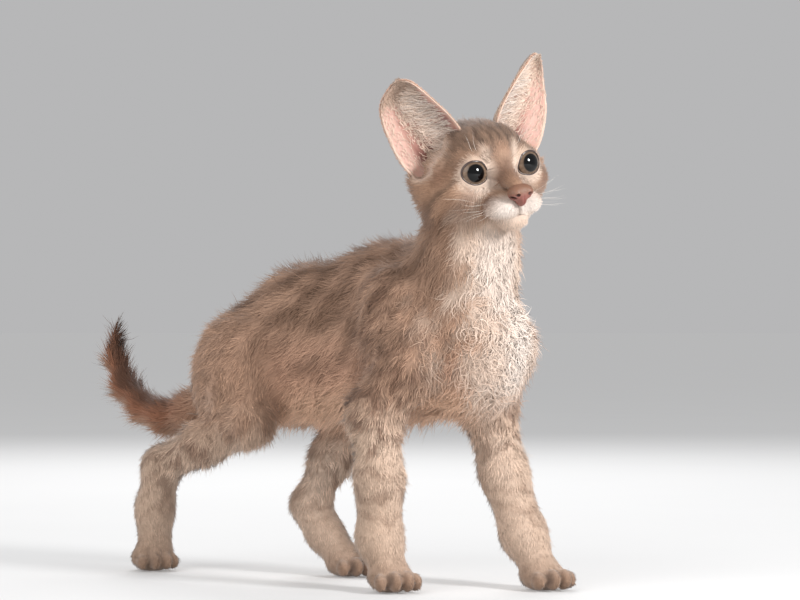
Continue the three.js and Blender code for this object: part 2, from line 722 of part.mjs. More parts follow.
const overTrunk = { curve: trunkCurve, up: [0, 0, 1], keep: clear };
const back = {
  ...overTrunk,
  from: 0,
  to: 1,
  count: 5,
  around: 3,
  arc: [-56, 56],
  comb: lie(1, 0.15),
  size: [50, 32],
  lift: 5,
  seed: 11,
};
const flank = (s) => ({
  ...overTrunk,
  from: 0.05,
  to: 0.95,
  count: 4,
  around: 2,
  arc: [62 * s, 146 * s],
  comb: lie(0.8, 0.7),
  size: [48, 34],
  lift: 3,
  seed: 31 + s,
});
const fringe = {
  ...overTrunk,
  from: 0.12,
  to: 0.8,
  count: 4,
  around: 2,
  arc: [152, 208],
  comb: lie(1, 0.2),
  size: [38, 24],
  lift: 2,
  droop: 8,
  seed: 53,
};
const breast = {
  curve: new THREE.CatmullRomCurve3([[16, 4, 158], [18, 4, 128], [10, 4, 100]].map(vec)),
  up: [-1, 0, 0],
  keep: clear,
  from: 0.05,
  to: 0.95,
  count: 3,
  around: 3,
  arc: [115, 245],
  comb: lie(0.2, 1),
  size: [36, 26],
  lift: 4,
  droop: 2,
  seed: 71,
};
byName.torso.lines = [back, flank(1), flank(-1), fringe, breast].flatMap((rows) => combed(torsoCore, rows));

byName.neck.lines = combed(neckCore, {
  curve: neckCurve,
  up: [1, 0, 0],
  from: 0.25,
  to: 0.85,
  count: 2,
  around: 4,
  arc: [0, 360],
  comb: lie(0.25, 1),
  size: [36, 38],
  lift: 3,
  seed: 92,
  keep: (p) => !inside('torso', p, 1),
});

/** The locks outside a leg's top piece, where the trunk doesn't cover it. */
function limbLocks(name, from, to, count, seed) {
  const made = byName[name];
  const s = name.endsWith('left') ? 1 : -1;
  return combed(made.shape, {
    curve: made.curve,
    up: [0, s, 0],
    from,
    to,
    count,
    around: 3,
    arc: [-75, 75],
    comb: lie(0.5, 1),
    size: [40, 24],
    lift: 3,
    seed,
    keep: (p) => !inside('torso', p, 2) && !inside('neck', p, 2) && p.y * s > 12,
  });
}
['left', 'right'].forEach((side, i) => {
  const arm = `upper_arm_front_${side}`;
  const thigh = `thigh_hind_${side}`;
  byName[arm].lines = limbLocks(arm, 0.02, 0.38, 2, 101 + i);
  byName[thigh].lines = limbLocks(thigh, 0.02, 0.32, 2, 131 + i);
});

TAIL_LENGTHS.forEach(({ name, from, to }, i) => {
  byName[name].lines = combed(tailCore, {
    curve: tailCurve,
    up: [0, 1, 0],
    from: Math.max(0.2, from),
    to: to < 1 ? to : 0.95,
    count: i === 1 ? 2 : 1,
    around: 3,
    arc: [0, 360],
    comb: (tangent, out) => tangent.clone().addScaledVector(out, 0.2),
    size: [28, 13],
    thick: 3.6,
    sink: 1.6,
    lift: 4,
    seed: 151 + i,
  });
});

/** Joins a part's locks to it, clear of every other part and of the locks already placed. */
function dressed(made, taken) {
  if (!made.lines.length) return made.core;
  const others = join(...bodyParts.filter((one) => one !== made).map((one) => one.fat));
  const locks = join(...made.lines.map((line) => lockSolid(line, 0)));
  return made.core.add(locks.subtract(others).subtract(taken).subtract(floor));
}

let taken = floor; // the placed locks, grown by the seam
let standing = floor; // the finished parts themselves
bodyParts.forEach((made) => {
  const material = made.name.startsWith('forearm') ? PALE_COAT : COAT;
  const whole = dressed(made, taken).subtract(standing);
  add(made.name, whole, material);
  if (!made.lines.length) return;
  taken = join(taken, ...made.lines.map((line) => lockSolid(line, SEAM)));
  standing = join(standing, whole);
});
both((s) => s).forEach((s) => {
  const side = s > 0 ? 'left' : 'right';
  add(`ear_${side}`, solid(earSheet(s, EARS[side])).subtract(headPart.fat), EAR_SKIN);
});
kitten.position.set(-ORIGIN[0], -ORIGIN[1], -ORIGIN[2]);

export default kitten;
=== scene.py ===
"""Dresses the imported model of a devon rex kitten: skin, eyes, nose, ears, coat and whiskers.

Sizes are in millimetres in the kitten's own frame, as in the part's source: X forward along the body, Y to
the kitten's left, Z up from the floor. They become the frame's metres where a mesh is written.
"""

import logging
import math
from dataclasses import dataclass, field, replace
from enum import Enum
from typing import Callable, Iterable, Iterator

import bmesh
import bpy
import numpy as np
from mathutils import Matrix, Vector

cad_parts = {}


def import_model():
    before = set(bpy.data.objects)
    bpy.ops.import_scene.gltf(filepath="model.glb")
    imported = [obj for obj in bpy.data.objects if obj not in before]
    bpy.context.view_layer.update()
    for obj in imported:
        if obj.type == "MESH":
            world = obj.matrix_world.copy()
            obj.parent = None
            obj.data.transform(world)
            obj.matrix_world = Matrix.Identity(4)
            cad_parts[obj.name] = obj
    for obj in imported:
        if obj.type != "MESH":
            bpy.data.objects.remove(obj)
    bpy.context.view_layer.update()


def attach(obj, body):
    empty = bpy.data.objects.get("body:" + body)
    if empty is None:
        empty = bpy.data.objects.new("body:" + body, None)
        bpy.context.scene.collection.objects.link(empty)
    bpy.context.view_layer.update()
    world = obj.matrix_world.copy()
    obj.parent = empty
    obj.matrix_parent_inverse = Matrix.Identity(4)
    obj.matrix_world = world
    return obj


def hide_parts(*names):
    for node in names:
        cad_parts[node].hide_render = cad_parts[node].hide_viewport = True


log = logging.getLogger("kitten")

MM = 0.001
ORIGIN = np.array([-91.2, -2.4, 0.0])
SEED = 20
UV_NAME = "OFBake"
PATCH = 0.003
TINT = "tint"
CLEARANCE = 0.05

Points = np.ndarray
Field = Callable[[Points], np.ndarray]
Colour = tuple[float, float, float]


# Small mathematics on many points at once


def span(vectors: Points) -> np.ndarray:
    """The length of each vector."""
    return np.sqrt(np.einsum("...i,...i->...", vectors, vectors))


def unit(vectors: Points) -> Points:
    """Vectors scaled to length one."""
    return vectors / np.maximum(span(vectors), 1e-9)[..., None]


def step(low: float, high: float, value: np.ndarray) -> np.ndarray:
    """A smooth step from 0 at low to 1 at high; low may be the larger."""
    t = np.clip((value - low) / (high - low), 0.0, 1.0)
    return t * t * (3.0 - 2.0 * t)


def hill(value: np.ndarray, centre: float, width: float) -> np.ndarray:
    """A smooth hump of height 1 at the centre, with the given half width."""
    return np.exp(-(((value - centre) / width) ** 2))


def dip(gap: np.ndarray, fillet: float) -> np.ndarray:
    """How much a fillet fills where two fields differ by the gap."""
    return np.maximum(fillet - np.abs(gap), 0.0) ** 2 / (4 * fillet)


def turned(yaw: float, pitch: float, roll: float) -> np.ndarray:
    """The matrix of a turn given in degrees about Z, then Y, then X."""
    y, p, r = (math.radians(angle) for angle in (yaw, pitch, roll))
    about_z = np.array([[math.cos(y), -math.sin(y), 0], [math.sin(y), math.cos(y), 0], [0, 0, 1]])
    about_y = np.array([[math.cos(p), 0, math.sin(p)], [0, 1, 0], [-math.sin(p), 0, math.cos(p)]])
    about_x = np.array([[1, 0, 0], [0, math.cos(r), -math.sin(r)], [0, math.sin(r), math.cos(r)]])
    return about_z @ about_y @ about_x


class Waves:
    """Smooth noise in space: a sum of plane waves with seeded directions and phases."""

    def __init__(self, size: float, seed: int, count: int = 7) -> None:
        """Args:
            size: the rough length of a wave in millimetres.
            seed: fixes the pattern.
            count: how many waves are added.
        """
        random = np.random.default_rng(seed)
        lengths = size * random.uniform(0.7, 1.6, count)
        self.knots = unit(random.normal(size=(count, 3))) * (2 * math.pi / lengths)[:, None]
        self.phases = random.uniform(0, 2 * math.pi, count)
        self.scale = math.sqrt(2.0 / count)

    def __call__(self, p: Points) -> np.ndarray:
        """The noise at points, mostly between -1 and 1."""
        return np.sin(p @ self.knots.T + self.phases).sum(axis=1) * self.scale


def waves3(size: float, seed: int) -> Callable[[Points], Points]:
    """Three independent noises as a vector field."""
    parts = [Waves(size, seed + k) for k in range(3)]
    return lambda p: np.stack([part(p) for part in parts], axis=1)


# Shapes as fields that are negative inside, the same as the solids'


@dataclass(frozen=True)
class Blob:
    """An ellipsoid by its centre, half sizes and turn in degrees."""

    at: tuple[float, float, float]
    half: tuple[float, float, float]
    turn: tuple[float, float, float] = (0, 0, 0)

    def __call__(self, p: Points) -> np.ndarray:
        """The rough distance from the surface."""
        half = np.array(self.half)
        local = ((p - np.array(self.at)) @ turned(*self.turn)) / half
        near = span(local)
        slope = span(local / half)
        return near * (near - 1.0) / np.maximum(slope, 1e-6)

    def seed_mesh(self, bm: bmesh.types.BMesh, inset: float, frame: Matrix) -> None:
        """Adds a ball of this shape, smaller by the inset, to a mesh."""
        half = [max(one - inset, 1.5) for one in self.half]
        turn = Matrix(turned(*self.turn).tolist()).to_4x4()
        place = frame @ Matrix.Translation(self.at) @ turn @ Matrix.Diagonal((*half, 1.0))
        bmesh.ops.create_icosphere(bm, subdivisions=4, radius=1.0, matrix=place)


@dataclass(frozen=True)
class Bone:
    """A straight round length between two joints whose radius changes evenly."""

    a: tuple[float, float, float]
    b: tuple[float, float, float]
    ra: float
    rb: float

    def __call__(self, p: Points) -> np.ndarray:
        """The distance from the surface."""
        a, d = np.array(self.a), np.array(self.b) - np.array(self.a)
        from_a = p - a
        t = np.clip(from_a @ d / (d @ d), 0.0, 1.0)
        return span(from_a - t[:, None] * d) - self.ra - (self.rb - self.ra) * t

    def seed_mesh(self, bm: bmesh.types.BMesh, inset: float, frame: Matrix) -> None:
        """Adds a cone with round ends, smaller by the inset, to a mesh."""
        a, b = Vector(self.a), Vector(self.b)
        ra, rb = max(self.ra - inset, 1.5), max(self.rb - inset, 1.5)
        for at, radius in ((a, ra), (b, rb)):
            place = frame @ Matrix.Translation(at)
            bmesh.ops.create_icosphere(bm, subdivisions=3, radius=radius, matrix=place)
        turn = (b - a).to_track_quat("Z", "Y").to_matrix().to_4x4()
        place = frame @ Matrix.Translation((a + b) / 2) @ turn
        depth = (b - a).length
        bmesh.ops.create_cone(
            bm, cap_ends=True, segments=32, radius1=ra, radius2=rb, depth=depth, matrix=place
        )


@dataclass(frozen=True)
class Melt:
    """Several shapes melted into one, with a fillet of the given width between them."""

    fillet: float
    shapes: tuple

    def __call__(self, p: Points) -> np.ndarray:
        """The rough distance from the joined surface."""
        near = self.shapes[0](p)
        for shape in self.shapes[1:]:
            other = shape(p)
            near = np.minimum(near, other) - dip(near - other, self.fillet)
        return near

    def seed_mesh(self, bm: bmesh.types.BMesh, inset: float, frame: Matrix) -> None:
        """Adds every shape of the melt to a mesh."""
        for shape in self.shapes:
            shape.seed_mesh(bm, inset, frame)


def chain(joints: list, radii: list, fillet: float) -> Melt:
    """Bones through a list of joints."""
    pairs = zip(joints, joints[1:], radii, radii[1:])
    return Melt(fillet, tuple(Bone(a, b, ra, rb) for a, b, ra, rb in pairs))


def both(make: Callable[[int], object]) -> tuple:
    """What make gives for the left side and for the right."""
    return (make(1), make(-1))


@dataclass(frozen=True)
class HeadFrame:
    """The head's own frame: X to the nose, Y to the left ear, Z to the crown."""

    centre: tuple[float, float, float] = (37, -6, 227.5)
    turn: tuple[float, float, float] = (-23, 3, 11)

    def inward(self, p: Points) -> Points:
        """Points of the kitten's frame in the head's."""
        return (p - np.array(self.centre)) @ turned(*self.turn)

    def outward(self, p: Points) -> Points:
        """Points of the head's frame in the kitten's."""
        return p @ turned(*self.turn).T + np.array(self.centre)

    def direction(self, v: Points) -> Points:
        """Directions of the head's frame in the kitten's."""
        return v @ turned(*self.turn).T

    def matrix(self) -> Matrix:
        """The head's frame as a Blender matrix in millimetres."""
        return Matrix.Translation(self.centre) @ Matrix(turned(*self.turn).tolist()).to_4x4()


@dataclass(frozen=True)
class InHead:
    """A shape given in the head's own frame."""

    head: HeadFrame
    shape: Melt

    def __call__(self, p: Points) -> np.ndarray:
        """The rough distance from the surface."""
        return self.shape(self.head.inward(p))

    def seed_mesh(self, bm: bmesh.types.BMesh, inset: float, frame: Matrix) -> None:
        """Adds the shape to a mesh in the kitten's frame."""
        self.shape.seed_mesh(bm, inset, frame @ self.head.matrix())


@dataclass(frozen=True)
class ByPart:
    """One value for each kind of region, mixed by how far a place belongs to each."""

    trunk: float
    neck: float
    head: float
    leg: float
    paw: float
    tail: float

    def __call__(self, kinds: dict[str, np.ndarray]) -> np.ndarray:
        """The mixed value at each place."""
        return sum(kinds[name] * value for name, value in vars(self).items())


# The kitten's form


@dataclass(frozen=True)
class Leg:
    """A leg by its joints, the coat's radius at each, its top muscle and its paw."""

    path: tuple
    radii: tuple
    muscle: Blob
    paw_at: tuple[float, float]
    paw_yaw: float
    paw_size: float

    def paw(self) -> Melt:
        """The pad and the four toes in front of it."""
        spin = turned(self.paw_yaw, 0, 0) * self.paw_size
        lift = np.array([*self.paw_at, 0.0])

        def there(at: tuple, half: tuple, yaw: float) -> Blob:
            """A blob of the paw moved into the kitten's frame."""
            sized = tuple(one * self.paw_size for one in half)
            return Blob(tuple(spin @ np.array(at) + lift), sized, (self.paw_yaw + yaw, 0, 0))

        pad = there((0, 0, 8), (14, 13.5, 9), 0)
        ankle = chain(list(self.path[-3:]), list(self.radii[-3:]), 8)
        toes = (
            there((9, -10.5, 6.2), (7, 4.6, 6.4), -10),
            there((13.5, -3.8, 7), (7.5, 4.6, 7.2), -3),
            there((13.5, 3.8, 7), (7.5, 4.6, 7.2), 3),
            there((9, 10.5, 6.2), (7, 4.6, 6.4), 10),
        )
        return Melt(2.2, (Melt(8, (ankle, pad)), *toes))

    def limb(self) -> Melt:
        """The leg without its paw."""
        return Melt(10, (chain(list(self.path), list(self.radii), 10), self.muscle))


FILLETS = {"neck": 14, "head": 8, "tail": 10}
PAW_FILLET = 3
LIMB_FILLET = 12


@dataclass
class Form:
    """The whole kitten as fields: the coat's outline, and how far each place belongs to each region."""

    head: HeadFrame = HeadFrame()
    eye_radius: float = 9.0
    eye_spacing: float = 33.5
    right_eye_shift: tuple[float, float, float] = (0.6, 1.6, 0.0)
    lid: float = 1.5
    face_fillet: float = 6.5
    hollow_fillet: float = 3.0
    depths: ByPart = ByPart(5.0, 4.5, 2.4, 3.4, 0.8, 3.6)
    face_thinner: float = 0.9
    tail: tuple = (
        (-158, 0, 106),
        (-182, 0, 94),
        (-204, 0, 89),
        (-224, 0, 94),
        (-240, 0, 106),
        (-249, 0, 122),
        (-250, 0, 140),
    )
    tail_radii: tuple = (13, 12, 11, 10, 9, 7.5, 4.5)
    neck: tuple = ((3, 3, 150), (21, 1, 178), (34, -5, 214))
    neck_radii: tuple = (34, 30, 27)
    legs: dict[str, Leg] = field(default_factory=dict)
    regions: dict[str, Field] = field(default_factory=dict)
    hollow: tuple = (
        Bone((-4.5, 26, 18.5), (8, 33, 20), 6, 8),
        Bone((-7, 31.5, 11.5), (8, 40, 13), 5, 6),
        Bone((-8.5, 32.5, 5), (6, 40, 6), 3, 3.5),
    )

    def __post_init__(self) -> None:
        """Builds the fields of every region."""
        self.legs = {
            "front_right": Leg(
                (
                    (-14, -17, 160),
                    (4, -25, 128),
                    (-17, -30, 96),
                    (-12, -33, 60),
                    (-12, -33, 28),
                    (-4, -33.5, 10),
                ),
                (10, 16, 17, 14, 12.5, 10),
                Blob((-8, -22, 138), (24, 16, 40), (0, -14, 0)),
                (-4, -33.5),
                -24,
                0.95,
            ),
            "front_left": Leg(
                ((0, 24, 162), (26, 29, 132), (12, 31, 100), (23, 31, 63), (37, 31, 29), (50, 29.5, 10)),
                (10, 16, 17.5, 14, 12.5, 10),
                Blob((8, 28, 138), (24, 16, 40), (0, -14, 0)),
                (51, 29.3),
                -14,
                0.95,
            ),
            "hind_right": Leg(
                (
                    (-140, -15, 134),
                    (-128, -24, 112),
                    (-112, -28, 90),
                    (-150, -27, 76),
                    (-188, -22, 62),
                    (-196, -20, 36),
                    (-197, -19, 11),
                ),
                (14, 18, 16, 14, 12, 11, 11),
                Blob((-131, -20, 115), (33, 20, 35), (0, 20, 0)),
                (-200, -19),
                -20,
                0.92,
            ),
            "hind_left": Leg(
                (
                    (-138, 17, 132),
                    (-116, 24, 116),
                    (-86, 28, 98),
                    (-98, 26, 68),
                    (-113, 24, 40),
                    (-102, 24, 24),
                    (-88, 24, 11),
                ),
                (14, 18, 16, 14, 12, 10.5, 10.5),
                Blob((-120, 20, 118), (38, 20, 33), (0, 20, 0)),
                (-84, 24),
                -14,
                0.92,
            ),
        }
        trunk = Melt(
            16,
            (
                Blob((-20, 4, 137), (66, 35, 49), (0, -4, 0)),
                Blob((24, 5, 129), (33, 34, 38), (-8, 20, 0)),
                Blob((-34, 4, 168), (50, 21, 26), (0, -2, 0)),
                Blob((-86, 5, 130), (56, 33, 44)),
                Blob((-100, 4, 147), (46, 26, 34), (0, -14, 0)),
                Blob((-132, 2, 122), (31, 29, 37), (0, -30, 0)),
            ),
        )
        self.regions = {
            "trunk": trunk,
            "neck": chain(list(self.neck), list(self.neck_radii), 10),
            "head": InHead(self.head, self.face()),
            "tail": chain(list(self.tail), list(self.tail_radii), 6),
        }
        for name, leg in self.legs.items():
            self.regions[name] = leg.limb()
            self.regions[f"paw_{name}"] = leg.paw()

    def eye_at(self, side: int) -> np.ndarray:
        """An eye's centre in the head's frame; side is 1 for the left."""
        nearer = np.array(self.right_eye_shift) * (side < 0)
        return np.array([14.0, side * self.eye_spacing / 2, 0.0]) + nearer

    def face(self) -> Melt:
        """The head's form in its own frame."""
        lids = self.eye_radius + self.lid
        cranium = Melt(
            12,
            (
                Blob((-8, 0, 6), (30, 27, 22)),
                Blob((10, 0, 10), (15, 17, 11.5), (0, 12, 0)),
                *both(lambda s: Blob((2, 22 * s, -9), (20, 14.5, 14), (-8 * s, 0, 0))),
                *both(lambda s: Blob((-8, 28 * s, 3), (14, 13, 15))),
                *both(lambda s: Blob((-8, 22 * s, -15), (15, 13, 13))),
                Blob((10, 0, -19), (20, 15, 13)),
            ),
        )
        return Melt(
            self.face_fillet,
            (
                cranium,
                Bone((14, 0, 5), (35, 0, -9.5), 8, 5.5),
                *both(lambda s: Blob((28.2, 7.9 * s, -19.5), (9.6, 9.7, 7.4), (22 * s, 8, 0))),
                Blob((29.6, 0, -19.8), (4.6, 6, 5.2)),
                Blob((26.8, 0, -28.4), (7.8, 8.5, 6)),
                *both(lambda s: Blob(tuple(self.eye_at(s)), (lids, lids, lids))),
            ),
        )

    def cups(self, p: Points) -> np.ndarray:
        """How far points lie outside the hollows in front of the ears' roots."""
        local = self.head.inward(p)
        folded = np.stack([local[:, 0], np.abs(local[:, 1]), local[:, 2]], axis=1)
        return np.min([bone(folded) for bone in self.hollow], axis=0)

    def outline(self, p: Points) -> np.ndarray:
        """The rough distance from the coat's outline."""
        near = self.regions["trunk"](p)
        for name, region in self.regions.items():
            if name == "trunk":
                continue
            fillet = FILLETS.get(name, PAW_FILLET if name.startswith("paw") else LIMB_FILLET)
            other = region(p)
            near = np.minimum(near, other) - dip(near - other, fillet)
        cups = -self.cups(p)
        return np.maximum(near, cups) + dip(near - cups, self.hollow_fillet)

    def shares(self, p: Points, blur: float = 4.0) -> dict[str, np.ndarray]:
        """How far each point belongs to each region; the shares add up to 1."""
        distances = np.stack([region(p) for region in self.regions.values()])
        weights = np.exp(-(distances - distances.min(axis=0)) / blur)
        weights /= weights.sum(axis=0)
        return dict(zip(self.regions, weights))

    def gathered(self, p: Points) -> dict[str, np.ndarray]:
        """The shares, with the four legs gathered into leg and paw."""
        shares = self.shares(p)
        kinds = {name: shares[name] for name in ("trunk", "neck", "head", "tail")}
        kinds["leg"] = sum(shares[name] for name in self.legs)
        kinds["paw"] = sum(shares[f"paw_{name}"] for name in self.legs)
        return kinds

    def depth(self, p: Points) -> np.ndarray:
        """How deep the skin lies under the coat's outline."""
        kinds = self.gathered(p)
        front = step(2, 22, self.head.inward(p)[:, 0]) * kinds["head"]
        return self.depths(kinds) - self.face_thinner * front

    def slope(self, surface: Field, p: Points, reach: float = 0.4) -> Points:
        """The direction straight out of a surface at points."""
        corners = np.array([[1, -1, -1], [-1, -1, 1], [-1, 1, -1], [1, 1, 1]], dtype=float)
        total = np.zeros_like(p)
        for corner in corners:
            total += corner * surface(p + corner * reach)[:, None]
        return unit(total)


# Openings in the face


@dataclass
class Lids:
    """The openings between the lids, measured round each eye's centre in the head's frame."""

    form: Form
    width: float = 17.4
    height: float = 13.4
    slant: float = 7.0
    yaw_left: float = 10.0
    yaw_right: float = -3.0
    drift: float = 3.0

    def gaze(self, side: int, eyeball: bool = False) -> np.ndarray:
        """The opening's or the eyeball's own frame: its columns point ahead, to the left and up."""
        yaw = self.yaw_left if side > 0 else self.yaw_right
        if eyeball and side < 0:
            yaw -= self.drift
        return turned(yaw, 0, 0) @ turned(0, 0, self.slant * side)

    def outside(self, local: Points, side: int) -> tuple[np.ndarray, Points, np.ndarray]:
        """How far places lie outside the opening.

        Args:
            local: places in the head's frame.
            side: 1 for the left eye, -1 for the right.

        Returns:
            The distance outside the opening's edge, the direction from the eye's centre, and the radius.
        """
        rel = local - self.form.eye_at(side)
        radius = span(rel)
        seen = rel @ self.gaze(side)
        ahead = np.clip(seen[:, 0] / np.maximum(radius, 1e-6), -1, 1)
        arc = np.arccos(ahead) * self.form.eye_radius / np.maximum(np.hypot(seen[:, 1], seen[:, 2]), 1e-6)
        across = seen[:, 1] * side * arc
        up = seen[:, 2] * arc
        corner = np.maximum(-across - 4.5, 0) * 0.42
        share = np.hypot(across / (self.width / 2), (up + corner) / (self.height / 2 - corner * 0.5))
        edge = (share - 1.0) * min(self.width, self.height) / 2
        return np.where(ahead > -0.3, edge, 20.0), rel / np.maximum(radius, 1e-6)[:, None], radius

    def loop(self, side: int, count: int = 96) -> Points:
        """Points round the opening's edge on the eyeball, in the head's frame."""
        angle = np.linspace(0, 2 * math.pi, count, endpoint=False)
        low, high = np.zeros(count), np.full(count, 12.0)
        for _ in range(30):
            mid = (low + high) / 2
            out = self.outside(self.on_ball(angle, mid, side), side)[0]
            low = np.where(out < 0, mid, low)
            high = np.where(out < 0, high, mid)
        return self.on_ball(angle, low, side)

    def on_ball(self, angle: np.ndarray, off: np.ndarray, side: int) -> Points:
        """Places on the eyeball at a clock angle and a distance off its axis."""
        radius = self.form.eye_radius
        off = np.minimum(off, radius * 0.999)
        seen = np.stack([np.sqrt(radius**2 - off**2), off * np.cos(angle), off * np.sin(angle)], axis=1)
        return seen @ self.gaze(side).T + self.form.eye_at(side)


@dataclass(frozen=True)
class Mouth:
    """The mouth line and the groove under the nose, in the head's frame."""

    points: tuple = ((38.6, 0, -23.4), (35.5, 6, -26), (29, 13, -26.5), (21, 17, -24))
    groove_top: float = -17.0
    groove_foot: float = -23.2
    groove_from: float = 30.0

    def nearness(self, local: Points, width: float = 0.95) -> np.ndarray:
        """1 on the mouth line, falling to 0 beside it."""
        folded = local.copy()
        folded[:, 1] = np.abs(folded[:, 1])
        near = np.full(len(local), 1e6)
        for a, b in zip(self.points, self.points[1:]):
            near = np.minimum(near, Bone(a, b, 0.0, 0.0)(folded))
        x, y, z = folded.T
        past = np.maximum(z - self.groove_top, 0) + np.maximum(self.groove_foot - z, 0)
        near = np.where(x > self.groove_from, np.minimum(near, np.hypot(y, past)), near)
        return np.exp(-((near / width) ** 2))


# Markings and painted shade, the same on skin and coat


def srgb(red: int, green: int, blue: int) -> np.ndarray:
    """A screen colour as linear light."""
    value = np.array([red, green, blue]) / 255.0
    return np.where(value <= 0.04045, value / 12.92, ((value + 0.055) / 1.055) ** 2.4)


class Hue(Enum):
    """The coat's and skin's own colours, and the dark tones of painted shade in the ear canals, the nostrils
    and the creases.
    """

    FAWN = (181, 145, 121)
    DARK_FAWN = (131, 101, 81)
    SHADE = (107, 81, 64)
    ROSE = (212, 164, 138)
    CREAM = (222, 197, 178)
    WHITE = (236, 223, 213)
    SAND = (206, 178, 156)
    BAR = (116, 86, 69)
    PAW = (148, 118, 97)
    # GROOVE also serves as painted shade in the toes' creases, along the soles and in the mouth line.
    GROOVE = (84, 65, 55)
    APRICOT = (226, 184, 154)
    TAIL = (148, 100, 75)
    TAIL_DARK = (98, 69, 54)
    TAIL_PALE = (184, 146, 120)
    CAP = (140, 113, 94)
    CAP_DARK = (86, 65, 51)
    CHEEK = (172, 135, 109)
    CHEEK_DARK = (120, 86, 66)
    LEATHER = (130, 79, 69)
    MAUVE = (124, 98, 96)
    EAR_PINK = (198, 160, 147)
    EAR_DEEP = (158, 106, 94)
    CANAL_SHADE = (104, 64, 56)
    EAR_BACK = (168, 140, 122)
    IRIS = (116, 96, 80)
    IRIS_INNER = (90, 73, 60)
    IRIS_EDGE = (44, 33, 27)
    EYE_WHITE = (70, 52, 46)
    PUPIL = (5, 5, 6)
    LID_RIM = (62, 46, 41)
    NOSTRIL_SHADE = (52, 24, 22)
    NOSE_GROOVE_SHADE = (112, 48, 42)
    HORN = (244, 236, 226)

    @property
    def linear(self) -> np.ndarray:
        """The colour as linear light."""
        return srgb(*self.value)


class Wash:
    """A colour at each of many points, built up by laying hues over a ground."""

    def __init__(self, ground: Hue, count: int) -> None:
        """Starts from one hue everywhere."""
        self.colour = np.tile(ground.linear, (count, 1))

    def over(self, hue: Hue, share: np.ndarray) -> "Wash":
        """Moves the colour towards a hue by a share at each point."""
        self.colour += (hue.linear - self.colour) * np.clip(share, 0, 1)[:, None]
        return self


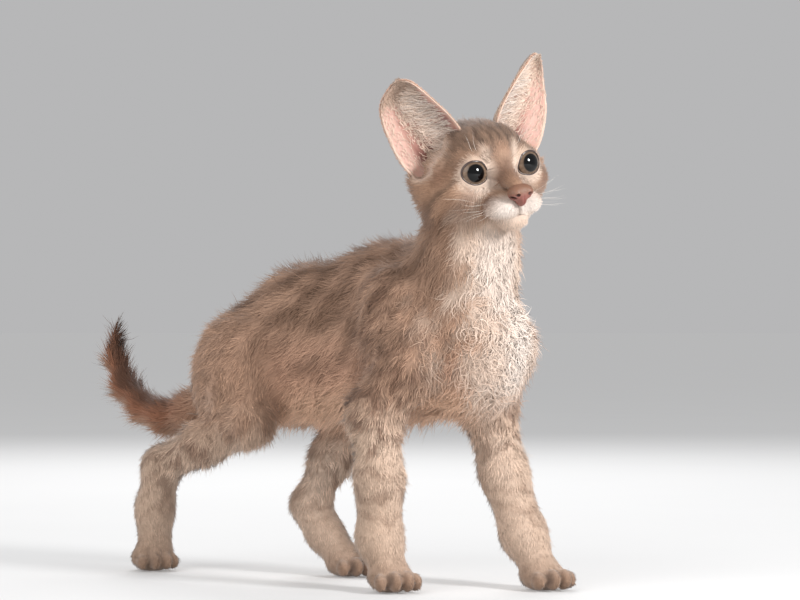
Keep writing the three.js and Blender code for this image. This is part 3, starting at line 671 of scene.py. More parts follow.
@dataclass
class Markings:
    """The tabby markings, with painted shade in the creases and hollows, as a function of place and of the
    way the surface faces.
    """

    form: Form
    broad: Waves = field(default_factory=lambda: Waves(46, 3))
    mottled: Waves = field(default_factory=lambda: Waves(13, 5))
    fine: Waves = field(default_factory=lambda: Waves(4.2, 7))
    toe_grooves: tuple = (-7.4, 0.0, 7.4)
    tear: tuple = ((25, 9.9, -1.2), (25.7, 7.9, -4.9), (31.9, 6.5, -10.2))
    eye_corner: tuple[float, float, float] = (24.3, 10.0, -1.3)
    spot_rows: tuple = (-17.5, -20.0, -22.5)
    spots_in_row: int = 4

    def body(self, p: Points, out: Points) -> Points:
        """The trunk: darker on the back, rose low on the flanks, cream on the breast."""
        x, y, z = p.T
        mottle = self.mottled(p)
        wash = Wash(Hue.FAWN, len(p))
        wash.over(Hue.DARK_FAWN, 0.42 + 0.3 * mottle + 0.2 * self.broad(p))
        back = step(0.15, 0.85, out[:, 2]) * step(120, 165, z)
        wash.over(Hue.SHADE, 0.62 * back * (0.8 + 0.3 * mottle))
        low = step(150, 104, z + 5 * mottle)
        wash.over(Hue.ROSE, 0.62 * low)
        belly = step(0.1, -0.7, out[:, 2]) * step(125, 98, z)
        wash.over(Hue.APRICOT, 0.9 * belly)
        rump = step(-118, -150, x) * step(0.2, 0.9, out[:, 2] - 0.4 * out[:, 0])
        wash.over(Hue.DARK_FAWN, 0.45 * rump)
        breast = step(0.3, 0.85, out[:, 0] - 0.12 * out[:, 2] + 0.12 * mottle) * step(-4, 18, x)
        wash.over(Hue.CREAM, 0.9 * breast)
        middle = breast * hill(y - 0.28 * (x - 30), 1, 13) * step(96, 120, z)
        return wash.over(Hue.WHITE, 0.85 * middle).colour

    def throat(self, p: Points, out: Points) -> Points:
        """The neck: brown behind and at the sides, white in front."""
        mottle = self.mottled(p)
        wash = Wash(Hue.FAWN, len(p))
        wash.over(Hue.DARK_FAWN, 0.6 + 0.3 * mottle)
        forward = self.form.head.direction(np.array([[1.0, 0, 0]]))[0]
        facing = out @ unit(forward * 0.6 + np.array([0.4, 0, 0]))
        front = step(0.42, 0.86, facing + 0.1 * mottle)
        wash.over(Hue.CREAM, front)
        return wash.over(Hue.WHITE, 0.55 * step(0.75, 0.98, facing)).colour

    def limb(self, p: Points, out: Points) -> Points:
        """The legs: sand and cream with wavy bars, brown at the top."""
        x, y, z = p.T
        mottle = self.mottled(p)
        wash = Wash(Hue.SAND, len(p))
        inside = step(0.2, 0.8, -out[:, 1] * np.sign(y - 2))
        wash.over(Hue.CREAM, 0.55 * inside + 0.35 * step(0.1, 0.9, out[:, 0]))
        top = step(78, 118, z)
        wash.over(Hue.FAWN, top)
        wash.over(Hue.DARK_FAWN, 0.4 * top * (0.8 + 0.6 * mottle))
        wave = np.sin(z * 0.38 + 2.2 * self.broad(p) + 1.2 * mottle)
        bars = step(0.1, 0.9, wave) * step(20, 44, z) * (1 - 0.35 * inside)
        wash.over(Hue.BAR, 0.7 * bars)
        thigh = step(-60, -80, x) * step(60, 105, z)
        return wash.over(Hue.FAWN, 0.8 * thigh).colour

    def foot(self, p: Points, out: Points) -> Points:
        """The paws: grey brown, dark with painted shade between the toes and along the sole where it meets
        the floor.
        """
        wash = Wash(Hue.PAW, len(p))
        wash.over(Hue.SAND, step(9, 30, p[:, 2]) * 0.8)
        wash.over(Hue.CREAM, 0.3 * step(0.3, 0.9, out[:, 2]) * step(20, 8, p[:, 2]))
        # Painted shade: dark lanes in the creases between the toes.
        groove = np.zeros(len(p))
        for leg in self.form.legs.values():
            local = (p - np.array([*leg.paw_at, 0.0])) @ turned(leg.paw_yaw, 0, 0) / leg.paw_size
            for lane in self.toe_grooves:
                ahead = step(8, 13, local[:, 0]) * step(17, 14, local[:, 2])
                groove = np.maximum(groove, hill(local[:, 1], lane, 0.9) * ahead)
        wash.over(Hue.GROOVE, 0.85 * groove)
        # Painted shade along the sole where the paw meets the floor.
        return wash.over(Hue.GROOVE, 0.8 * step(2.4, 0.6, p[:, 2])).colour

    def tail(self, p: Points, out: Points) -> Points:
        """The tail: dark, darkest along its upper side and at its tip, pale below."""
        wash = Wash(Hue.TAIL, len(p))
        upper = step(0.1, 0.8, out[:, 2] + 0.9 * out[:, 0] * step(-215, -240, p[:, 0]))
        wash.over(Hue.TAIL_DARK, 0.85 * upper)
        wash.over(Hue.TAIL_PALE, 0.75 * step(0.0, -0.9, out[:, 2] + 0.4 * out[:, 0]))
        wash.over(Hue.TAIL_DARK, step(125, 142, p[:, 2]))
        return wash.over(Hue.FAWN, step(-196, -168, p[:, 0]) * 0.8).colour

    def cap(self, local: Points, mottle: np.ndarray) -> np.ndarray:
        """1 on the dark cap between the ears, in the head's frame."""
        side = np.abs(local[:, 1])
        return step(8, 17, local[:, 2] + 0.25 * side + 1.5 * mottle) * step(32, 22, side)

    def crown(self, wash: Wash, local: Points, mottle: np.ndarray) -> None:
        """The cheeks' ground, the streaked cap, the pale lines above the eyes and the nose's brown bridge."""
        x, y, z = local.T
        side = np.abs(y)
        wash.over(Hue.CHEEK_DARK, 0.3 + 0.32 * mottle)
        cap = self.cap(local, mottle)
        wash.over(Hue.CAP, 0.85 * cap)
        streak = step(0.25, 0.8, np.sin(y * 1.25 + 1.5 * mottle)) * step(30, 12, side)
        wash.over(Hue.CAP_DARK, cap * (0.35 + 0.5 * streak + 0.2 * self.fine(local)))
        wash.over(Hue.DARK_FAWN, 0.45 * step(2, -18, x))
        pale = hill(side - 0.2 * z, 6.6, 2.2) * step(16, 9, z) * step(-6, 2, z) * step(8, 16, x)
        wash.over(Hue.CREAM, 0.9 * pale)
        bridge = step(6.0, 3.4, side) * step(20, 28, x) * step(-17, -8, z)
        wash.over(Hue.CHEEK_DARK, 0.42 * bridge)

    def sockets(self, wash: Wash, local: Points, mottle: np.ndarray) -> None:
        """The cream rings round the eyes."""
        x, y, z = local.T
        lids = Lids(self.form)
        edge = np.where(y > 0, lids.outside(local, 1)[0], lids.outside(local, -1)[0])
        from_eye = span(np.stack([x - 14, np.abs(y) - self.form.eye_spacing / 2, z], axis=1))
        ring = step(3.2, 1.5, edge + 0.4 * mottle) * step(17, 15, from_eye) * (1 - 0.4 * step(2, 7, z))
        wash.over(Hue.CREAM, 0.95 * ring * (1 - 0.4 * self.cap(local, mottle)))

    def muzzle(self, wash: Wash, local: Points, mottle: np.ndarray) -> None:
        """The white pads, the cream chin, the stripes across the cheeks and the smear beside the nose."""
        x, y, z = local.T
        side = np.abs(y)
        pad = np.hypot((x - 31) / 10, np.hypot((side - 6.8) / 10.5, (z + 21) / 7.5)) - 0.6
        wash.over(Hue.WHITE, 0.9 * step(0.62, -0.1, pad))
        wash.over(Hue.CREAM, 0.9 * step(-22, -27, z) * step(12, 22, x))
        bend = z + 9 + np.where(x < 12, 0.56 * (12 - x), 1.25 * (12 - x))
        stripe = hill(bend + mottle, 0, 2.6) * step(18, 21, side) * step(21, 17, x) * step(-16, -6, x)
        second = hill(z + 17 + 0.5 * (19 - x) + mottle, 0, 2.8) * step(12, 16, side) * step(24, 18, x)
        wash.over(Hue.CAP_DARK, 0.7 * np.maximum(stripe, 0.8 * second))
        wash.over(Hue.CHEEK_DARK, 0.4 * hill(x, 25, 5) * hill(z, -11.5, 2.6) * hill(side, 15, 4))

    def details(self, wash: Wash, local: Points) -> None:
        """The tear lines, the eyes' dark corners, the whiskers' roots, and the lips with painted shade in
        their crease.
        """
        folded = local * [1, 0, 1] + np.abs(local) * [0, 1, 0]
        lines = zip(self.tear, self.tear[1:])
        tear = np.min([Bone(one, other, 0, 0)(folded) for one, other in lines], axis=0)
        wash.over(Hue.MAUVE, 0.85 * step(3.4, 1.4, tear))
        wash.over(Hue.GROOVE, 0.9 * step(3.8, 1.6, span(folded - np.array(self.eye_corner))))
        spots = np.zeros(len(local))
        for row, height in enumerate(self.spot_rows):
            for k in range(self.spots_in_row):
                spot = (31.5 - 2.2 * k + 0.6 * row, 13.0 + 1.3 * k - 0.8 * row, height - 0.35 * k)
                spots = np.maximum(spots, step(1.4, 0.5, span(folded - np.array(spot))))
        wash.over(Hue.CHEEK_DARK, 0.75 * spots)
        # The lips' own dark colour, with painted shade in the pressed-in mouth line and in the groove under
        # the nose.
        wash.over(Hue.GROOVE, 0.75 * Mouth().nearness(local))

    def face(self, p: Points, out: Points) -> Points:
        """The head's markings, with the ears' hollows."""
        local = self.form.head.inward(p)
        mottle = self.mottled(local)
        wash = Wash(Hue.CHEEK, len(p))
        for lay_on in (self.crown, self.sockets, self.muzzle):
            lay_on(wash, local, mottle)
        self.details(wash, local)
        cups = self.form.cups(p)
        wash.over(Hue.CREAM, 0.7 * step(6, 2, cups) * step(-16, -4, local[:, 0]))
        wash.over(Hue.EAR_DEEP, step(1.5, 0.2, cups))
        # Painted shade deep in the ear's hollow.
        return wash.over(Hue.CANAL_SHADE, 0.85 * step(1.0, -1.0, cups) * step(22, 12, local[:, 2])).colour

    def __call__(self, p: Points, out: Points) -> Points:
        """The colour at points of the body, as linear light.

        Args:
            p: places in the kitten's frame.
            out: the way the surface faces at each.

        Returns:
            One colour for each place.
        """
        kinds = self.form.gathered(p)
        painters = {
            "trunk": self.body,
            "neck": self.throat,
            "head": self.face,
            "tail": self.tail,
            "leg": self.limb,
            "paw": self.foot,
        }
        colour = np.zeros((len(p), 3))
        for name, painter in painters.items():
            share = kinds[name]
            some = share > 0.01
            colour[some] += painter(p[some], out[some]) * share[some, None]
        return colour


# Meshes


def placed(points: Points) -> Points:
    """Millimetres of the kitten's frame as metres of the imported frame."""
    return (points - ORIGIN) * MM


def read_points(mesh: bpy.types.Mesh) -> Points:
    """A mesh's vertices as an array."""
    flat = np.empty(len(mesh.vertices) * 3)
    mesh.vertices.foreach_get("co", flat)
    return flat.reshape(-1, 3)


def places(verts: Iterable[bmesh.types.BMVert]) -> Points:
    """The places of a bmesh's vertices as an array."""
    return np.array([vert.co for vert in verts])


def move(verts: Iterable[bmesh.types.BMVert], points: Points) -> None:
    """Moves a bmesh's vertices to the points."""
    for vert, at in zip(verts, points):
        vert.co = at


def new_object(name: str, mesh: bpy.types.Mesh) -> bpy.types.Object:
    """A linked object for a mesh."""
    obj = bpy.data.objects.new(name, mesh)
    bpy.context.scene.collection.objects.link(obj)
    return obj


def written(name: str, bm: bmesh.types.BMesh) -> bpy.types.Object:
    """Writes a bmesh as an object as it is, and frees it."""
    mesh = bpy.data.meshes.new(name)
    bm.to_mesh(mesh)
    bm.free()
    return new_object(name, mesh)


def from_bmesh(name: str, bm: bmesh.types.BMesh) -> bpy.types.Object:
    """Writes a bmesh in millimetres as an object in metres, smooth shaded."""
    obj = written(name, bm)
    mesh = obj.data
    mesh.vertices.foreach_set("co", placed(read_points(mesh)).ravel())
    mesh.polygons.foreach_set("use_smooth", np.ones(len(mesh.polygons), dtype=bool))
    mesh.update()
    return obj


def paint(mesh: bpy.types.Mesh, colours: Points) -> None:
    """Writes one colour for each vertex into the tint attribute."""
    layer = mesh.color_attributes.new(TINT, "FLOAT_COLOR", "POINT")
    full = np.ones((len(colours), 4))
    full[:, :3] = np.clip(colours, 0, 1)
    layer.data.foreach_set("color", full.ravel())


def dressed(obj: bpy.types.Object, slot: str, finish: bpy.types.Material, *nodes: str) -> None:
    """Gives a piece its material and its body, and hides the nodes that it stands for."""
    obj.data.materials.clear()
    obj.data.materials.append(finish)
    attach(obj, "root")
    if nodes:
        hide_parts(*nodes)
    log.info("%s: %d faces", obj.name, len(obj.data.polygons))


# Finishes


class Socket:
    """A node's output that Python expressions can reckon with."""

    def __init__(self, finish: "Shader", output: bpy.types.NodeSocket) -> None:
        """Wraps an output of one of the shader's nodes."""
        self.finish = finish
        self.output = output

    def reckon(self, how: str, *values: object) -> "Socket":
        """A Math node on these values."""
        return self.finish.node("ShaderNodeMath", {"operation": how}, dict(enumerate(values)))

    def __add__(self, other: object) -> "Socket":
        """The sum."""
        return self.reckon("ADD", self, other)

    def __radd__(self, other: object) -> "Socket":
        """The sum, with this value second."""
        return self.reckon("ADD", other, self)

    def __sub__(self, other: object) -> "Socket":
        """The difference."""
        return self.reckon("SUBTRACT", self, other)

    def __rsub__(self, other: object) -> "Socket":
        """The difference, with this value second."""
        return self.reckon("SUBTRACT", other, self)

    def __mul__(self, other: object) -> "Socket":
        """The product."""
        return self.reckon("MULTIPLY", self, other)

    def __rmul__(self, other: object) -> "Socket":
        """The product, with this value second."""
        return self.reckon("MULTIPLY", other, self)


class Shader:
    """A procedural material whose nodes are made by expressions."""

    def __init__(self, name: str) -> None:
        """Starts an empty material with its Principled shader."""
        self.material = bpy.data.materials.new(name)
        self.material.use_nodes = True
        self.tree = self.material.node_tree
        self.surface = self.tree.nodes["Principled BSDF"]

    def node(self, kind: str, settings: dict, inputs: dict, output: int | str = 0) -> Socket:
        """Makes one node.

        Args:
            kind: the node's type.
            settings: properties set before its sockets.
            inputs: values or links by socket name or number.
            output: the output that the result wraps.

        Returns:
            The wrapped output.
        """
        made = self.tree.nodes.new(kind)
        for name, value in settings.items():
            setattr(made, name, value)
        for name, value in inputs.items():
            self.link(made.inputs[name], value)
        return Socket(self, made.outputs[output])

    def link(self, target: bpy.types.NodeSocket, value: object) -> None:
        """Links a wrapped socket to an input, or sets the input's value."""
        if isinstance(value, Socket):
            self.tree.links.new(value.output, target)
        else:
            target.default_value = value

    def set(self, **values: object) -> None:
        """Sets or links the Principled shader's inputs; a name's spaces are written as underscores."""
        for name, value in values.items():
            self.link(self.surface.inputs[name.replace("_", " ")], value)

    def tint(self) -> Socket:
        """The painted colour."""
        return self.node("ShaderNodeVertexColor", {"layer_name": TINT}, {}, "Color")

    def place(self) -> Socket:
        """The place in the object's frame."""
        return self.node("ShaderNodeTexCoord", {}, {}, "Object")

    def noise(self, scale: float, detail: float = 3.0, distortion: float = 0.0) -> Socket:
        """Noise between 0 and 1 over the object's frame; the scale is per metre."""
        inputs = {"Vector": self.place(), "Scale": scale, "Detail": detail, "Distortion": distortion}
        return self.node("ShaderNodeTexNoise", {}, inputs, "Fac")

    def mixed(self, how: str, share: object, a: object, b: object) -> Socket:
        """Two colours mixed by a share."""
        settings = {"data_type": "RGBA", "blend_type": how}
        return self.node("ShaderNodeMix", settings, {0: share, 6: a, 7: b}, 2)

    def shaded(self, colour: object, amount: object) -> Socket:
        """A colour made lighter or darker by a factor."""
        grey = self.node("ShaderNodeCombineColor", {}, {0: amount, 1: amount, 2: amount})
        return self.mixed("MULTIPLY", 1.0, colour, grey)

    def bump(self, height: Socket, strength: float, distance: float) -> Socket:
        """A bump from a height."""
        inputs = {"Strength": strength, "Distance": distance, "Height": height}
        return self.node("ShaderNodeBump", {}, inputs, "Normal")


@dataclass(frozen=True)
class Fur:
    """The finish of skin and tufts: the painted markings with fine ticking."""

    name: str
    roughness: float = 0.72
    sheen: float = 0.25
    ticking: float = 0.22
    bump: float = 0.25
    specular: float = 0.22

    def material(self) -> bpy.types.Material:
        """Builds the material."""
        shader = Shader(self.name)
        hairs = shader.noise(900, 3.0, 0.6)
        blotches = shader.noise(140, 2.0)
        light = 1.0 + self.ticking * (hairs - 0.5) * 2.0 + 0.12 * (blotches - 0.5) * 2.0
        shader.set(
            Base_Color=shader.shaded(shader.tint(), light),
            Roughness=self.roughness,
            Sheen_Weight=self.sheen,
            Sheen_Roughness=0.5,
            Specular_IOR_Level=self.specular,
        )
        if self.bump:
            shader.set(Normal=shader.bump(shader.noise(1400, 2.0, 1.0), self.bump, 0.0006))
        return shader.material


@dataclass(frozen=True)
class BareSkin:
    """Thin skin of the ears: painted, faintly veined, slightly see-through to light."""

    name: str = "ear_skin"

    def material(self) -> bpy.types.Material:
        """Builds the material."""
        shader = Shader(self.name)
        veins = shader.noise(90, 4.0, 1.4)
        pores = shader.noise(1600, 2.0)
        light = 0.94 + 0.16 * veins
        shader.set(
            Base_Color=shader.shaded(shader.tint(), light),
            Roughness=0.55,
            Subsurface_Weight=0.15,
            Subsurface_Radius=(0.003, 0.0014, 0.001),
            Subsurface_Scale=1.0,
            Specular_IOR_Level=0.3,
            Normal=shader.bump(pores, 0.3, 0.0003),
        )
        return shader.material


@dataclass(frozen=True)
class NoseLeather:
    """The nose's bare leather: moist and pebbled, over a painted colour that is darker and redder in the
    hollows as painted shade.
    """

    name: str = "nose_leather"

    def material(self) -> bpy.types.Material:
        """Builds the material."""
        shader = Shader(self.name)
        settings = {"feature": "SMOOTH_F1"}
        pebbles = shader.node(
            "ShaderNodeTexVoronoi", settings, {"Vector": shader.place(), "Scale": 1500.0, "Smoothness": 0.6}
        )
        light = 0.86 + 0.22 * shader.noise(420, 2.0) + 0.1 * pebbles
        shader.set(
            Base_Color=shader.shaded(shader.tint(), light),
            Roughness=0.46 + 0.14 * pebbles,
            Subsurface_Weight=0.15,
            Subsurface_Radius=(0.002, 0.0007, 0.0005),
            Normal=shader.bump(pebbles, 0.35, 0.0004),
        )
        return shader.material


@dataclass(frozen=True)
class WetEye:
    """The eye: black pupil, grey brown iris with fine spokes and a dark edge, all under a wet gloss."""

    name: str = "wet_eye"

    def material(self) -> bpy.types.Material:
        """Builds the material."""
        shader = Shader(self.name)
        spokes = shader.noise(1500, 3.0, 0.4)
        shader.set(
            Base_Color=shader.shaded(shader.tint(), 0.8 + 0.4 * spokes),
            Roughness=0.3,
            Coat_Weight=1.0,
            Coat_Roughness=0.02,
            Coat_IOR=1.38,
            Specular_IOR_Level=0.0,
        )
        return shader.material


@dataclass(frozen=True)
class LidRim:
    """The moist dark edge of the lids."""

    name: str = "lid_rim"

    def material(self) -> bpy.types.Material:
        """Builds the material."""
        shader = Shader(self.name)
        light = 0.8 + 0.4 * shader.noise(700, 2.0)
        shader.set(Base_Color=shader.shaded(shader.tint(), light), Roughness=0.34, Coat_Weight=0.35)
        return shader.material


@dataclass(frozen=True)
class Whisker:
    """A whisker's pale horn."""

    name: str = "whisker_horn"

    def material(self) -> bpy.types.Material:
        """Builds the material."""
        shader = Shader(self.name)
        light = 0.9 + 0.2 * shader.noise(300, 2.0)
        shader.set(Base_Color=shader.shaded(shader.tint(), light), Roughness=0.35)
        return shader.material


# Pieces


@dataclass
class Skin:
    """One skin over the whole body, with the lids, the mouth line and the toes in it."""

    form: Form
    markings: Markings
    lids: Lids
    voxel: float = 1.6
    rounds: int = 4
    pull: float = 3.0
    body_inset: float = 3.5
    paw_inset: float = 1.5
    hollow_margin: float = 2.0
    face_low: tuple[float, float, float] = (8, -30, -36)
    face_high: tuple[float, float, float] = (60, 30, 16)
    eye_reach: float = 15.5
    eye_gap: float = 0.7
    lid_height: float = 0.85
    lid_swell: float = 0.12
    lip_width: float = 0.8
    lip_depth: float = 1.1
    # Painted shade: the skin is painted darker where it lies under the coat.
    underfur: float = 0.82

    def surface(self, p: Points) -> np.ndarray:
        """The field whose zero is the skin."""
        return self.form.outline(p) + self.form.depth(p)

    def rough(self) -> bmesh.types.BMesh:
        """The body's balls and cones fused into one even closed mesh, in millimetres."""
        bm = bmesh.new()
        for name, region in self.form.regions.items():
            inset = self.paw_inset if name.startswith("paw") else self.body_inset
            region.seed_mesh(bm, inset, Matrix())
        obj = written("rough_skin", bm)
        cutter = self.cutter()
        self.fuse(obj)
        cut = obj.modifiers.new("hollows", "BOOLEAN")
        cut.operation = "DIFFERENCE"
        cut.object = cutter
        self.fuse(obj)
        evaluated = obj.evaluated_get(bpy.context.evaluated_depsgraph_get())
        fused = bmesh.new()
        fused.from_mesh(evaluated.to_mesh())
        evaluated.to_mesh_clear()
        for spent in (obj, cutter):
            bpy.data.meshes.remove(spent.data)
        return fused

    def fuse(self, obj: bpy.types.Object) -> None:
        """Fuses a mesh's overlapping balls and cones with an even remesh."""
        fuse = obj.modifiers.new("fuse", "REMESH")
        fuse.mode = "VOXEL"
        fuse.voxel_size = self.voxel

    def cutter(self) -> bpy.types.Object:
        """The ears' hollows as one closed form to be cut out of the rough body."""
        bm = bmesh.new()
        for bone in self.form.hollow:
            for side in (1, -1):
                a, b = (tuple(np.array(end) * [1, side, 1]) for end in (bone.a, bone.b))
                Bone(a, b, bone.ra, bone.rb).seed_mesh(bm, -self.hollow_margin, self.form.head.matrix())
        obj = written("hollow_cutter", bm)
        self.fuse(obj)
        return obj

    def refine(self, bm: bmesh.types.BMesh) -> None:
        """Divides the faces of the face once more."""
        centres = np.array([face.calc_center_median() for face in bm.faces])
        local = self.form.head.inward(centres)
        near = ((local > self.face_low) & (local < self.face_high)).all(axis=1)
        edges = {edge for face, wanted in zip(bm.faces, near) if wanted for edge in face.edges}
        bmesh.ops.subdivide_edges(bm, edges=list(edges), cuts=1, use_grid_fill=True)

    def sculpted(self, p: Points) -> Points:
        """Opens the lids and presses in the mouth line."""
        local = self.form.head.inward(p)
        for side in (1, -1):
            edge, direction, radius = self.lids.outside(local, side)
            near = (radius < self.eye_reach) & (edge < 4.0)
            floor = self.form.eye_radius - self.eye_gap
            brim = self.form.eye_radius + self.lid_height + self.lid_swell * np.maximum(edge, 0) ** 2
            rim = np.minimum(radius, np.where(edge < 2.6, brim, radius))
            aim = floor + (rim - floor) * step(-0.9, 0.35, edge)
            blend = step(4.0, 2.0, edge)
            moved = self.form.eye_at(side) + direction * (radius + (aim - radius) * blend)[:, None]
            local = np.where(near[:, None], moved, local)
        pressed = self.form.head.outward(local)
        groove = Mouth().nearness(local, self.lip_width) * (local[:, 0] > 15)
        inward = -self.form.slope(self.form.regions["head"], pressed)
        return pressed + inward * (self.lip_depth * groove)[:, None]

    def build(self, finish: bpy.types.Material) -> bpy.types.Object:
        """Makes the skin.

        Args:
            finish: its material.

        Returns:
            The skin, painted and unwrapped.
        """
        bm = self.rough()
        self.refine(bm)
        bmesh.ops.triangulate(bm, faces=[face for face in bm.faces if len(face.verts) > 4])
        p = places(bm.verts)
        for turn in range(self.rounds):
            out = self.form.slope(self.form.outline, p)
            p = p - out * np.clip(self.surface(p), -self.pull, self.pull)[:, None]
            move(bm.verts, p)
            if turn < self.rounds - 1:
                axes = {"use_axis_x": True, "use_axis_y": True, "use_axis_z": True}
                bmesh.ops.smooth_vert(bm, verts=bm.verts, factor=0.5, **axes)
                p = places(bm.verts)
        p = self.sculpted(p)
        p[:, 2] = np.maximum(p[:, 2], CLEARANCE)
        move(bm.verts, p)
        bmesh.ops.recalc_face_normals(bm, faces=bm.faces)
        skin = from_bmesh("skin", bm)
        # The markings go on the skin darker, as painted shade under the coat.
        paint(skin.data, self.markings(p, self.form.slope(self.form.outline, p)) * self.underfur)
        self.unwrap(skin)
        dressed(skin, "coat", finish, *flesh_nodes())
        return skin

    def unwrap(self, skin: bpy.types.Object) -> None:
        """Unfolds the skin's own shape into the bake map."""
        skin.data.uv_layers.new(name=UV_NAME)
        bpy.context.view_layer.objects.active = skin
        skin.select_set(True)
        bpy.ops.object.mode_set(mode="EDIT")
        bpy.ops.mesh.select_all(action="SELECT")
        bpy.ops.uv.smart_project(angle_limit=math.radians(66), island_margin=0.003)
        bpy.ops.object.mode_set(mode="OBJECT")
        skin.select_set(False)


def flesh_nodes() -> Iterator[str]:
    """The nodes that the skin stands for."""
    yield from ("head", "neck", "torso", "tail_base", "tail_middle", "tail_tip")
    for end in ("front", "hind"):
        for side in ("left", "right"):
            limb = ("upper_arm", "forearm", "paw") if end == "front" else ("thigh", "shank", "foot", "paw")
            yield from (f"{piece}_{end}_{side}" for piece in limb)


EAR_EDGES = {
    -1: (
        ((4, 8, 16), (4, 15, 29), (6, 27, 42), (6, 36, 51), (4, 41.5, 55)),
        ((-8, 26, -12), (-8, 43, 0), (-9, 51, 21), (-8, 52.5, 39), (1, 47, 52.5)),
    ),
    1: (
        ((4, 8, 16), (4, 14, 29), (6, 24.5, 43), (6, 34, 52), (5, 42, 56.5)),
        ((-6, 24, -8), (-6, 41.5, 3), (-8, 50.5, 21), (-6, 50, 42), (4, 47.5, 55.5)),
    ),
}


@dataclass
class Ear:
    """A large thin cupped ear, open forwards and outwards."""

    form: Form
    side: int
    inner: tuple
    outer: tuple
    back: tuple[float, float, float] = (-0.92, -0.29, 0.26)
    depth: float = 15.0
    tip_depth: float = 1.5
    thickness: float = 1.3
    round_from: float = 0.72
    reach: float = 0.95
    edge_inset: float = 0.1
    edge_thinner: float = 0.45
    across: int = 44
    along: int = 60

    @property
    def label(self) -> str:
        """left or right."""
        return "left" if self.side > 0 else "right"

    def spline(self, points: tuple, t: np.ndarray) -> Points:
        """A smooth curve through the points, at shares of its knots."""
        knots = np.array(points, dtype=float) * [1, self.side, 1]
        padded = np.vstack([2 * knots[0] - knots[1], knots, 2 * knots[-1] - knots[-2]])
        spot = np.clip(t, 0, 1) * (len(knots) - 1)
        k = np.minimum(spot.astype(int), len(knots) - 2)
        u = (spot - k)[:, None]
        a, b, c, d = (padded[k + shift] for shift in range(4))
        return 0.5 * (
            2 * b + (c - a) * u + (2 * a - 5 * b + 4 * c - d) * u**2 + (3 * b - a - 3 * c + d) * u**3
        )

    def sheet(self, s: np.ndarray, t: np.ndarray, lift: np.ndarray) -> Points:
        """Places on the ear: s runs from the inner edge (-1) to the outer (1), t from root to tip."""
        past = np.clip((t - self.round_from) / (1 - self.round_from), 0, 1)
        close = np.maximum(1 - past**3, 0.001) ** 0.45
        t = t * self.reach
        inner, outer = self.spline(self.inner, t), self.spline(self.outer, t)
        inset = self.edge_inset * (1.0 if self.side < 0 else 0.3)
        s = (s * close + 1) * (1 - inset) - 1
        back = unit(np.array(self.back) * [1, self.side, 1])
        bow = np.sqrt(np.maximum(0, 1 - s * s * 0.92)) - math.sqrt(0.08)
        depth = self.depth * (1 - t) ** 0.6 * (0.55 + 0.45 * np.minimum(1, t * 5)) + self.tip_depth
        point = inner + (outer - inner) * ((s + 1) / 2)[:, None]
        slant = unit(outer - inner)
        normal = unit(back + slant * (s * 0.9)[:, None])
        ridge = 0.9 * hill(s, -0.15, 0.07) * step(0.62, 0.3, t) * step(0.08, 0.2, t)
        ridge = ridge + 0.7 * hill(s, 0.22, 0.06) * step(0.5, 0.3, t) * step(0.12, 0.22, t)
        pouch = 1.6 * hill(t, 0.24, 0.035) * step(0.72, 0.95, s)
        return point + back * (bow * depth)[:, None] + normal * (lift - ridge - pouch)[:, None]

    def colours(self, s: np.ndarray, t: np.ndarray, front: np.ndarray) -> Points:
        """Pink inside and at the thin edges, painted shade in the canal, brown fur ground behind and at the
        tip.
        """
        near = 1.0 if self.side < 0 else 0.4
        wash = Wash(Hue.EAR_PINK, len(s))
        wash.over(Hue.EAR_DEEP, 0.7 * step(0.78, 0.35, t) * step(0.62, 0.3, s))
        # Painted shade in the canal at the ear's root.
        wash.over(Hue.CANAL_SHADE, 0.9 * step(0.4, 0.22, t) * step(0.62, 0.25, np.abs(s - 0.15)))
        tip = step(0.6, 0.85, t) * step(0.98, 0.7, np.abs(s)) * (0.85 if self.side < 0 else 0.35)
        wash.over(Hue.EAR_BACK, tip)
        wash.over(Hue.MAUVE, 0.75 * near * hill(s, -0.78, 0.22) * hill(t, 0.3, 0.1))
        wash.over(Hue.CREAM, 0.6 * step(0.9, 1.0, np.abs(s)))
        behind = Wash(Hue.EAR_BACK, len(s)).over(Hue.CREAM, 0.8 * step(0.7, 0.95, np.abs(s)))
        return np.where(front[:, None], wash.colour, behind.colour)

    def build(self, finish: bpy.types.Material) -> bpy.types.Object:
        """Makes the ear as a thin closed sheet."""
        bm = bmesh.new()
        bmesh.ops.create_grid(bm, x_segments=self.across, y_segments=self.along, size=1.0)
        flat = places(bm.verts)
        s, t = flat[:, 0], (flat[:, 1] + 1) / 2
        lift = np.full(len(s), -self.thickness / 2)
        move(bm.verts, self.form.head.outward(self.sheet(s, t, lift)))
        kept = bm.verts.layers.float.new("s")
        height = bm.verts.layers.float.new("t")
        behind = bm.verts.layers.float.new("behind")
        for vert, one, other in zip(bm.verts, s, t):
            vert[kept], vert[height] = float(one), float(other)
        made = bmesh.ops.extrude_face_region(bm, geom=list(bm.faces))
        copies = [item for item in made["geom"] if isinstance(item, bmesh.types.BMVert)]
        cs = np.array([vert[kept] for vert in copies])
        ct = np.array([vert[height] for vert in copies])
        thin = (1.0 - self.edge_thinner * ct) * (1.0 - self.edge_thinner * step(0.7, 1.0, np.abs(cs)))
        move(copies, self.form.head.outward(self.sheet(cs, ct, self.thickness * thin - self.thickness / 2)))
        for vert in copies:
            vert[behind] = 1.0
        bmesh.ops.recalc_face_normals(bm, faces=bm.faces)
        s = np.array([vert[kept] for vert in bm.verts])
        t = np.array([vert[height] for vert in bm.verts])
        front_side = np.array([vert[behind] < 0.5 for vert in bm.verts])
        ear = from_bmesh(f"ear_sheet_{self.label}", bm)
        paint(ear.data, self.colours(s, t, front_side))
        dressed(ear, "ear_skin", finish, f"ear_{self.label}")
        return ear

